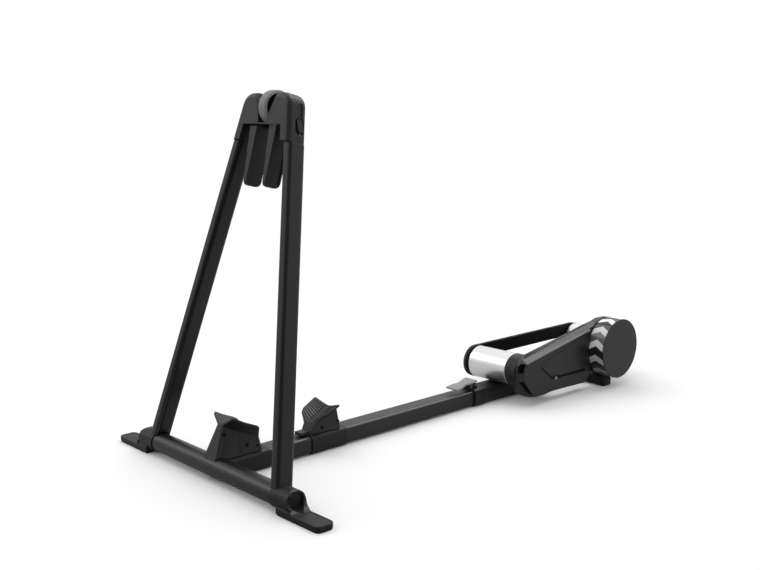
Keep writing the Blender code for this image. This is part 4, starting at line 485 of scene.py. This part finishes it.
# The groove's height, the wing tip's half width and height, the base behind the crossbar, and the lean.
CHOCK_FRONT = (0.0705, 0.0435, 0.0975, 0.2635, 0.42)
CHOCK_BACK = (0.1020, 0.0490, 0.1190, 0.3500, -0.24)
GROOVE_HALF = 0.006
GROOVE_RISE = 0.0035
TIP_MARGIN = 0.0012
RIB_SHARES = [0.1 + 0.1 * i for i in range(9)]
RIB_ENDS = (0.06, 0.93)
CHOCK_RIB = (0.0052, 0.0030, 0.0016)


def chock_section(share, side):
    """The groove's edge and the wing's edge at a share of the chock's length."""
    wall_z, tip_half, tip_z, base, lean = between(CHOCK_FRONT, CHOCK_BACK, share)
    return [
        (side * x, CROSSBAR_Y + base + lean * (z - CHOCK_BASE_Z), z)
        for x, z in ((GROOVE_HALF, wall_z + GROOVE_RISE), (tip_half - TIP_MARGIN, tip_z))
    ]


work = bmesh.new()
for side in (-1, 1):
    for share in RIB_SHARES:
        low, high = chock_section(share, side)
        across = Vector(high) - Vector(low)
        out = Vector((-side * across.z, 0, side * across.x))
        if out.z < 0:
            out = -out
        start, end = (between(low, high, rib_end) for rib_end in RIB_ENDS)
        add_rib(work, start, end, out, CHOCK_RIB)
add_piece("rear_chock_ribs", work, nylon, "sliding_chock")

# %% [markdown]
# ## Rings on the roller collar
# The collar between the front roller and the housing is ribbed all round, as a moulding with cooling fins
# is. Seven separate rings would do. One sleeve whose profile steps up and down is a single closed skin, as
# the moulding is.

# %% Collar rings
FRONT_AXLE = (CROSSBAR_Y + 0.9774, 0.0960)
REAR_AXLE = (CROSSBAR_Y + 1.4485, 0.0960)
SLEEVE_START, SLEEVE_END = 0.0692, 0.1052
SLEEVE_RADIUS = 0.0452
GROOVE_RADIUS, CREST_RADIUS = 0.04635, 0.0470
COLLAR_RINGS = 7
COLLAR_PITCH = 0.0052
# How far along a ring its flank begins, its crest begins, its crest ends and its flank ends.
RING_STEPS = ((0, GROOVE_RADIUS), (0.0006, CREST_RADIUS), (0.0030, CREST_RADIUS), (0.0036, GROOVE_RADIUS))
ROUND_COUNT = 96
profile = [(SLEEVE_START, SLEEVE_RADIUS)]
for i in range(COLLAR_RINGS):
    profile += [(SLEEVE_START + COLLAR_PITCH * i + step, radius) for step, radius in RING_STEPS]
profile += [(SLEEVE_END, GROOVE_RADIUS), (SLEEVE_END, SLEEVE_RADIUS)]
work = bmesh.new()
add_turned(work, profile, FRONT_AXLE, ROUND_COUNT)
add_piece("roller_collar_rings", work, nylon, "rear_unit", smooth=True)

# %% [markdown]
# ## Ribs on the link belt
# The link belt has a ribbed back. Its ribs are 2.4 mm wide and stand 4 mm apart, all round the loop over
# both pulleys. An array along a curve could lay them. A short function that gives the point and the way out
# at any distance along the loop does the same, and it spaces them so that the last one meets the first.

# %% Belt ribs
BELT_BACK_RADIUS = 0.0452
BELT_EDGES = (-0.0883, -0.0805)
BELT_PITCH = 0.004
BELT_RIB = (0.0024, 0.0014, 0.0009)
SEAT = 0.0001
SPAN = REAR_AXLE[0] - FRONT_AXLE[0]
HALF_TURN = math.pi * BELT_BACK_RADIUS


def on_pulley(axle, turn):
    """A point of the belt's back over a pulley, and the way out of it."""
    way = (math.cos(turn), math.sin(turn))
    return (axle[0] + way[0] * BELT_BACK_RADIUS, axle[1] + way[1] * BELT_BACK_RADIUS), way


def loop_place(along):
    """A point of the belt's back and the way out of it, at a distance along the loop."""
    if along < SPAN:
        return (FRONT_AXLE[0] + along, FRONT_AXLE[1] + BELT_BACK_RADIUS), (0, 1)
    along -= SPAN
    if along < HALF_TURN:
        return on_pulley(REAR_AXLE, math.pi / 2 - along / BELT_BACK_RADIUS)
    along -= HALF_TURN
    if along < SPAN:
        return (REAR_AXLE[0] - along, FRONT_AXLE[1] - BELT_BACK_RADIUS), (0, -1)
    return on_pulley(FRONT_AXLE, -math.pi / 2 - (along - SPAN) / BELT_BACK_RADIUS)


loop_length = 2 * SPAN + math.tau * BELT_BACK_RADIUS
rib_count = int(loop_length / BELT_PITCH)
work = bmesh.new()
for i in range(rib_count):
    (y, z), (out_y, out_z) = loop_place(loop_length * i / rib_count)
    y -= out_y * SEAT
    z -= out_z * SEAT
    add_rib(work, (BELT_EDGES[0], y, z), (BELT_EDGES[1], y, z), (0, out_y, out_z), BELT_RIB)
add_piece("link_belt_ribs", work, belt, "rear_unit")

# %% [markdown]
# ## Grille on the housing's top edge
# Between the cover's bright chamfer and the rollers runs a dark strip of fins, which lets the brake's heat
# out. Cut slots would need the shell to be remade, while fins laid on it shade each other just as slots do.
# They follow the inner shell's top edge and stand 5 mm apart.

# %% Housing fins
FIN_BACK = ((0.1066, CROSSBAR_Y + 0.9700, 0.1460), (0.1066, CROSSBAR_Y + 1.2500, 0.1930))
FIN_SPLIT = ((0.1194, CROSSBAR_Y + 0.9550, 0.1400), (0.1194, CROSSBAR_Y + 1.2400, 0.1952))
FIN_COUNT = 56
FIN_OUT = (0.2, -0.2, 1)
FIN = (0.0026, 0.0018, 0.0012)
work = bmesh.new()
for i in range(FIN_COUNT + 1):
    share = i / FIN_COUNT
    add_rib(work, between(*FIN_BACK, share), between(*FIN_SPLIT, share), FIN_OUT, FIN)
add_piece("housing_top_fins", work, plate, "rear_unit")

# %% [markdown]
# ## Thumbwheel: knurl and hollow
# The thumbwheel's rim has a fine knurl. Its two hollow sides are lined with a piece whose raised rings show
# as curved lines, and the piece's deep black is painted shade for the hollows. The knurl could be a wave in
# the bump, but the rim is seen edge on against white, where only real teeth show. The wheel leans with the
# A-frame, so all is laid out round its axle, which lies along X.

# %% Knurl and inserts
DIAL_PLACE = (-0.546076, 0.829376)
DIAL_RADIUS = 0.0395
KNURLS = 90
KNURL_HALF = 0.0098
KNURL = (0.0016, 0.0008, 0.0004)
INSERT_LIP, INSERT_RING, INSERT_FLOOR, INSERT_BACK = 0.0118, 0.0072, 0.0056, 0.0042
INSERT_RING_RADII = (0.0260, 0.0215, 0.0170)
RING_FOOT_HALF, RING_TOP_HALF = 0.0012, 0.0008
INSERT_COUNT = 64
work = bmesh.new()
for i in range(KNURLS):
    turn = math.tau * i / KNURLS
    way = (math.cos(turn), math.sin(turn))
    y, z = (middle + part * (DIAL_RADIUS - SEAT) for middle, part in zip(DIAL_PLACE, way))
    add_rib(work, (-KNURL_HALF, y, z), (KNURL_HALF, y, z), (0, *way), KNURL)
add_piece("dial_knurl", work, abs_grey, "dial")

profile = [(INSERT_LIP, 0.0319), (INSERT_LIP, 0.0310), (INSERT_FLOOR, 0.0300)]
for radius in INSERT_RING_RADII:
    profile += [(INSERT_FLOOR, radius + RING_FOOT_HALF), (INSERT_RING, radius + RING_TOP_HALF)]
    profile += [(INSERT_RING, radius - RING_TOP_HALF), (INSERT_FLOOR, radius - RING_FOOT_HALF)]
profile += [(INSERT_FLOOR, 0.0112), (INSERT_LIP, 0.0108), (INSERT_LIP, 0.0101)]
profile += [(INSERT_BACK, 0.0101), (INSERT_BACK, 0.0308)]
# The lining's deep black is painted shade for the wheel's hollow sides.
for name, side in (("left", 1), ("right", -1)):
    work = bmesh.new()
    add_turned(work, [(side * x, radius) for x, radius in profile], DIAL_PLACE, INSERT_COUNT)
    add_piece(f"dial_hollow_shade_lining_{name}", work, plate, "dial", smooth=True)

# %% [markdown]
# ## Grip on the cross-foot
# The ends of the rear cross-foot are ribbed, and by them the roller unit is dragged along. Each rib crosses
# the top and comes down the front. A bent bar would need a mitre at the edge; two straight bars that meet
# there look the same, because a moulded rib has a step at the edge too.

# %% Cross-foot ribs
GRIP_START = 0.1000
GRIP_PITCH = 0.0070
GRIP_RIBS = 7
GRIP_TOP_Z = 0.0299
GRIP_TOP_Y = (CROSSBAR_Y + 1.3010, CROSSBAR_Y + 1.3340)
GRIP_TOP = (0.0042, 0.0026, 0.0018)
GRIP_FRONT_Y = CROSSBAR_Y + 1.3001
GRIP_FRONT_Z = (0.0290, 0.0050)
GRIP_FRONT = (0.0042, 0.0026, 0.0014)
work = bmesh.new()
for side in (-1, 1):
    for i in range(GRIP_RIBS):
        x = side * (GRIP_START + GRIP_PITCH * i)
        start, end = ((x, y, GRIP_TOP_Z) for y in GRIP_TOP_Y)
        add_rib(work, start, end, (0, 0, 1), GRIP_TOP)
        start, end = ((x, GRIP_FRONT_Y, z) for z in GRIP_FRONT_Z)
        add_rib(work, start, end, (0, -1, 0), GRIP_FRONT)
add_piece("cross_foot_ribs", work, rubber, "rear_unit")

# %% [markdown]
# ## Seal between shroud and flywheel
# A thin black seal runs round the joint between the shroud and the flywheel. A torus would be quicker, but
# a real lip seal has a flat back that sits on the shroud and a flat, chamfered rim, so it is turned from
# its profile.

# %% Shroud seal
SEAL_ROOT, SEAL_EDGE, SEAL_CREST = 0.0874, 0.0884, 0.0887
SEAL_PROFILE = (
    (0.1328, SEAL_ROOT), (0.1328, SEAL_EDGE), (0.1334, SEAL_CREST),
    (0.1362, SEAL_CREST), (0.1367, SEAL_EDGE), (0.1367, SEAL_ROOT),
)
work = bmesh.new()
add_turned(work, SEAL_PROFILE, FLYWHEEL_PLACE, ROUND_COUNT)
add_piece("shroud_seal", work, plate, "rear_unit", smooth=True)

# %% [markdown]
# ## Vent strip below the panel
# The recess below the housing's panel ends in a strip of vent slots. Slots could be cut through the cover,
# but nothing can be seen through them, so bars on a black backing plate make the same dark strip with few
# faces. The plate's black is painted shade for the dark inside of the slots.

# %% Vent strip
STRIP_FRONT, STRIP_BACK = CROSSBAR_Y + 1.0890, CROSSBAR_Y + 1.2150
STRIP_LOW, STRIP_HIGH = 0.0647, 0.0707
STRIP_FACE = 0.1374
STRIP_MARGIN = 0.0006
STRIP_BARS = 26
STRIP_BAR = (0.0024, 0.0016, 0.0012)
PLATE_SINK = 0.0003
STRIP_SHADE_PLATE = (STRIP_HIGH - STRIP_LOW, STRIP_HIGH - STRIP_LOW - 0.0006, 0.0006)
work = bmesh.new()
for i in range(STRIP_BARS):
    y = STRIP_FRONT + (STRIP_BACK - STRIP_FRONT) * (i + 0.5) / STRIP_BARS
    start, end = (STRIP_FACE, y, STRIP_LOW + STRIP_MARGIN), (STRIP_FACE, y, STRIP_HIGH - STRIP_MARGIN)
    add_rib(work, start, end, (1, 0, 0), STRIP_BAR)
# The backing plate is painted shade: its black stands for the dark inside of the slots.
middle_z = (STRIP_LOW + STRIP_HIGH) / 2
start, end = ((STRIP_FACE - PLATE_SINK, y, middle_z) for y in (STRIP_FRONT, STRIP_BACK))
add_rib(work, start, end, (1, 0, 0), STRIP_SHADE_PLATE)
add_piece("panel_vent_strip", work, plate, "rear_unit")

# %% [markdown]
# ## How a screw and a plate are made
# A button-head screw is a dome with a hexagon socket. A Boolean could cut the socket. Here it is one skin
# instead: rings of points climb the dome, step in to a hexagon and sink to its floor, so every head is
# closed and clean. An oblong plate is made in the same way, out of three rings with round ends.

# %% Screw and plate
SCREW_COUNT = 24
# Heights and radii of the dome, then the socket's heights and half width, in shares of the head's radius.
SCREW_DOME = ((-0.05, 1.0), (0.15, 1.0), (0.42, 0.86), (0.55, 0.58))
SOCKET_HEIGHTS = (0.55, 0.12)
SOCKET_HALF = 0.42
OBLONG_COUNT = 24
OBLONG_SINK = 0.2 * MM
OBLONG_SHOULDER = 0.6


def add_screw(work, place, out, radius):
    """A domed head with a hexagon socket, standing along a direction."""
    turn = Vector(out).to_track_quat("Z", "Y")
    angles = [math.tau * i / SCREW_COUNT for i in range(SCREW_COUNT)]
    shapes = [(height, [share for _ in angles]) for height, share in SCREW_DOME]
    hexagon = [SOCKET_HALF / math.cos(a % (math.pi / 3) - math.pi / 6) for a in angles]
    shapes += [(height, hexagon) for height in SOCKET_HEIGHTS]
    rings = []
    for height, reaches in shapes:
        points = [(reach * math.cos(a), reach * math.sin(a), height) for a, reach in zip(angles, reaches)]
        rings.append([Vector(place) + turn @ (Vector(point) * radius) for point in points])
    add_skin(work, rings)


def add_oblong(work, middle, out, along, size):
    """An oblong plate with a narrower top, lying on a face. Its size is length, width and height."""
    length, width, height = size
    across = out.cross(along)
    run = (length - width) / 2
    shoulder = height * OBLONG_SHOULDER
    rings = []
    for inset, rise in ((0, -OBLONG_SINK), (0, shoulder), (height - shoulder, height)):
        radius = width / 2 - inset
        ring = []
        for i in range(OBLONG_COUNT):
            turn = math.tau * i / OBLONG_COUNT
            shift = run if i < OBLONG_COUNT / 2 else -run
            up_down = along * (radius * math.sin(turn) + shift)
            ring.append(middle + up_down + across * (radius * math.cos(turn)) + out * rise)
        rings.append(ring)
    add_skin(work, rings)


print("a screw's head has", SCREW_COUNT * 5 + 2, "faces")

# %% [markdown]
# ## Plates on the head's caps
# Each cap in the head's side carries a raised oblong plate and, below it, a bright pin. The cap's black,
# which shows round the plate, is painted shade for the cap's recess. They could be placed by numbers, but the
# caps lean with the legs. So the face that looks out is found in the cap's own mesh, with its middle, its way
# out and its long direction, and the plate is laid on that.

# %% Head cap plates and pins
CAP_PLATE = (0.0330, 0.0170, 0.0026)
PLATE_BACK, PLATE_UP = 3.2 * MM, 1.8 * MM
PIN_BACK, PIN_DOWN = 0.5 * MM, 17.6 * MM
PIN_RADIUS = 0.0028
SAME_LEVEL = 0.1 * MM


def cap_face(node_name, side):
    """The middle, the way out and the long direction of a head cap's outer face."""
    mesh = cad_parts[node_name].data
    out = max((face.normal for face in mesh.polygons), key=lambda normal: side * normal.x).copy()
    points = [vertex.co.copy() for vertex in mesh.vertices]
    level = max(point.dot(out) for point in points)
    points = [point for point in points if point.dot(out) > level - SAME_LEVEL]
    middle = sum(points, Vector()) / len(points)
    low, high = min(points, key=lambda point: point.z), max(points, key=lambda point: point.z)
    return middle, out, (high - low).normalized()


work = bmesh.new()
pins = bmesh.new()
for name, side in (("head_cap_left", 1), ("head_cap_right", -1)):
    middle, out, along = cap_face(name, side)
    back = Vector((0, 1, 0)) - out * out.y
    add_oblong(work, middle + back * PLATE_BACK + along * PLATE_UP, out, along, CAP_PLATE)
    add_screw(pins, middle - along * PIN_DOWN + back * PIN_BACK, out, PIN_RADIUS)
add_piece("head_cap_plates", work, nylon, "a_frame")
add_piece("head_cap_pins", pins, steel, "a_frame", smooth=True)

# %% [markdown]
# ## Screws
# Both chocks are screwed to the parts below them, and each foot is held by two screws in its boss. They are
# blackened steel: oiled black oxide, which is almost without colour and only faintly glossy. A rough metal
# would mirror the white room, so the finish is a dark coat with a low specular level. Every screw has its
# twin on the other side, so only one side is listed, with each head's place and the way that it faces.

# %% Button-head screws
blackened, tree, shader, place = start_finish("blackened_steel", "#040404", 0.5)
grain(tree, shader, place, size_mm=0.8, height_mm=0.01, dark="#030303", light="#060606", rough=(0.45, 0.55))
shader.inputs["Specular IOR Level"].default_value = 0.25
FRONT_CHOCK_SCREWS = (
    ((0.0140, -0.7171, 0.1038), (0.959, -0.189, 0.213)),
    ((0.0267, -0.6634, 0.0707), (0.999, -0.044, -0.022)),
    ((0.0265, -0.6348, 0.0644), (1, 0, 0)),
)
REAR_CHOCK_SCREWS = (
    ((0.0216, -0.4373, 0.0614), (0.987, -0.158, -0.012)),
    ((0.0285, -0.3916, 0.0698), (0.992, -0.115, -0.061)),
)
FOOT_SCREWS = (
    ((0.2933, -0.7517, 0.0462), (0.981, 0, 0.195)),
    ((0.3008, -0.758, 0.0217), (0.707, 0, 0.707)),
)
for name, screws, radius, body in (
    ("front_chock_screws", FRONT_CHOCK_SCREWS, 0.0042, "base"),
    ("rear_chock_screws", REAR_CHOCK_SCREWS, 0.0038, "sliding_chock"),
    ("foot_screws", FOOT_SCREWS, 0.0036, "base"),
):
    work = bmesh.new()
    for (x, y, z), (out_x, out_y, out_z) in screws:
        for side in (1, -1):
            add_screw(work, (side * x, y, z), (side * out_x, out_y, out_z), radius)
    add_piece(name, work, blackened, body, smooth=True)

# %% [markdown]
# ## Studio floor
# The trainer stands on a pale floor. It could be a curved sweep of paper; a flat sheet that turns into plain
# white light between 1.6 and 2.6 m away has no seam and keeps the shadow under the trainer. The camera sees
# nearly white paint. Every other ray sees painted shade: a grey floor that grows darker in front of the
# trainer, where a studio has no light. What the trainer's own gloss sees of it is what keeps the fronts of
# black parts black.

# %% Floor
FLOOR_HALF = 30
FLOOR_SEEN, FLOOR_MIRRORED, FLOOR_UNLIT = "#fafafa", "#c0c0c0", "#404040"
FRONT_SIDE = Vector((0.69, -0.73, 0.0))
# Distances in metres: towards the front where the mirrored floor darkens, and around where it turns to light.
UNLIT_START, UNLIT_FULL = 0.45, 1.3
BACKDROP_START, BACKDROP_FULL = 1.6, 2.6
floor_mesh = bpy.data.meshes.new("studio_floor")
work = bmesh.new()
bmesh.ops.create_grid(work, x_segments=1, y_segments=1, size=FLOOR_HALF)
work.to_mesh(floor_mesh)
work.free()
floor = bpy.data.objects.new("studio_floor", floor_mesh)
bpy.context.scene.collection.objects.link(floor)
floor_paint, tree, shader, place = start_finish("pale_studio_floor", FLOOR_SEEN, 0.9)
shader.inputs["Specular IOR Level"].default_value = 0.0
rays = add(tree, "ShaderNodeLightPath")
toward_front = add(tree, "ShaderNodeVectorMath", {"operation": "DOT_PRODUCT"}, {1: FRONT_SIDE}, {0: place})
limits = {"From Min": UNLIT_START, "From Max": UNLIT_FULL}
unlit = add(tree, "ShaderNodeMapRange", values=limits, links={0: toward_front.outputs["Value"]})
# Painted shade: for all rays but the camera's the floor is grey, and darker towards the front.
tones = {COLOUR_A: linear(FLOOR_MIRRORED), COLOUR_B: linear(FLOOR_UNLIT)}
mirrored = add(tree, "ShaderNodeMix", {"data_type": "RGBA"}, tones, {0: unlit.outputs[0]})
picks = {0: rays.outputs["Is Camera Ray"], COLOUR_A: mirrored.outputs[COLOUR_OUT]}
tone = add(tree, "ShaderNodeMix", {"data_type": "RGBA"}, {COLOUR_B: linear(FLOOR_SEEN)}, picks)
tree.links.new(tone.outputs[COLOUR_OUT], shader.inputs["Base Color"])
glow = add(tree, "ShaderNodeEmission", values={"Color": linear("#ffffff"), "Strength": 1.0})
reach = add(tree, "ShaderNodeVectorMath", {"operation": "LENGTH"}, links={0: place})
limits = {"From Min": BACKDROP_START, "From Max": BACKDROP_FULL}
fade = add(tree, "ShaderNodeMapRange", values=limits, links={0: reach.outputs["Value"]})
both = {0: fade.outputs[0], 1: rays.outputs["Is Camera Ray"]}
seen_glow = add(tree, MATHS, {"operation": "MULTIPLY"}, links=both)
layers = {0: seen_glow.outputs[0], 1: shader.outputs[0], 2: glow.outputs[0]}
blend = add(tree, "ShaderNodeMixShader", links=layers)
tree.links.new(blend.outputs[0], tree.nodes["Material Output"].inputs["Surface"])
floor_mesh.materials.append(floor_paint)
print("floor of", 2 * FLOOR_HALF, "m, white light from", BACKDROP_FULL, "m on")

# %% [markdown]
# ## The room
# The room is white for the camera and evenly bright for diffuse light, so every colour renders about as it
# is written. Gloss sees more: pale walls, a brighter ceiling, a dark side behind the camera, and two soft
# boxes, one above and behind the trainer and one at the picture's left. Real lamps could give those
# reflections, but they would also light the floor unevenly. Drawn into the world for glossy rays alone,
# they only shape the highlights.

# %% Room
ROOM_DIFFUSE = 0.97
WALLS_GLOSSY, CEILING_GLOSSY = 0.66, 0.95
# The sines of the heights where the walls end and the ceiling starts.
WALLS_TOP, CEILING_START = 0.15, 0.6
# The cosines of the angles where the dark side starts and is full, and the share of light that is left there.
DARK_SIDE = Vector((0.62, -0.72, 0.30)).normalized()
DARK_START, DARK_FULL, DARK_LEFT = 0.45, 0.95, 0.15
# Each soft box: the way to it, the cosines of its edge and of its core, and its strength.
BACK_BOX = (Vector((-0.06, 0.50, 0.86)).normalized(), 0.915, 0.955, 4.0)
LEFT_BOX = (Vector((-0.69, -0.48, 0.54)).normalized(), 0.965, 0.99, 2.2)
world = bpy.data.worlds.new("white_room")
world.use_nodes = True
bpy.context.scene.world = world
tree = world.node_tree
room = tree.nodes["Background"]
room.inputs["Color"].default_value = linear("#ffffff")
rays = add(tree, "ShaderNodeLightPath")
way = add(tree, "ShaderNodeTexCoord").outputs["Generated"]
facing = add(tree, "ShaderNodeVectorMath", {"operation": "DOT_PRODUCT"}, {1: DARK_SIDE}, {0: way})
limits = {"From Min": DARK_START, "From Max": DARK_FULL, "To Min": 1.0, "To Max": DARK_LEFT}
shade = add(tree, "ShaderNodeMapRange", values=limits, links={0: facing.outputs["Value"]})
height = add(tree, "ShaderNodeSeparateXYZ", links={0: way})
limits = {"From Min": WALLS_TOP, "From Max": CEILING_START, "To Min": WALLS_GLOSSY, "To Max": CEILING_GLOSSY}
walls = add(tree, "ShaderNodeMapRange", values=limits, links={0: height.outputs["Z"]})
both = {0: walls.outputs[0], 1: shade.outputs[0]}
glossy = add(tree, MATHS, {"operation": "MULTIPLY"}, links=both)
for side, edge, core, strength in (BACK_BOX, LEFT_BOX):
    aim = add(tree, "ShaderNodeVectorMath", {"operation": "DOT_PRODUCT"}, {1: side}, {0: way})
    limits = {"From Min": edge, "From Max": core, "To Max": strength}
    soft_box = add(tree, "ShaderNodeMapRange", values=limits, links={0: aim.outputs["Value"]})
    both = {0: glossy.outputs[0], 1: soft_box.outputs[0]}
    glossy = add(tree, MATHS, {"operation": "ADD"}, links=both)
picks = {0: rays.outputs["Is Glossy Ray"], NUMBER_B: glossy.outputs[0]}
light = add(tree, "ShaderNodeMix", values={NUMBER_A: ROOM_DIFFUSE}, links=picks)
picks = {0: rays.outputs["Is Camera Ray"], NUMBER_A: light.outputs[0]}
seen = add(tree, "ShaderNodeMix", values={NUMBER_B: 1.0}, links=picks)
tree.links.new(seen.outputs[0], room.inputs["Strength"])
print("room at", ROOM_DIFFUSE, "with a ceiling at", CEILING_GLOSSY, "for gloss")

# %% [markdown]
# ## Lamps
# An even room alone leaves hardly a shadow. Two large, weak soft boxes hang high above the trainer, one
# towards the picture's left and one behind, and they deepen the shade on the floor under it. Small lamps
# would draw hard shadows, which a product picture doesn't have. The boxes give no highlight of their own,
# because the room's soft boxes do that.


# %% Lamps
def soft_lamp(name, place, target, size, watts):
    """A square soft box that faces a target."""
    data = bpy.data.lights.new(name, "AREA")
    data.shape = "SQUARE"
    data.size = size
    data.energy = watts
    lamp = bpy.data.objects.new(name, data)
    bpy.context.scene.collection.objects.link(lamp)
    lamp.location = place
    lamp.rotation_euler = (Vector(target) - Vector(place)).to_track_quat("-Z", "Y").to_euler()
    lamp.visible_glossy = False
    print(name, "of", size, "m at", watts, "W")


soft_lamp("left_soft_box", place=(-1.6, -0.6, 2.7), target=(0, -0.1, 0.1), size=2.2, watts=12)
soft_lamp("top_soft_box", place=(-0.4, 1.2, 2.8), target=(0, 0, 0.1), size=2.0, watts=10)
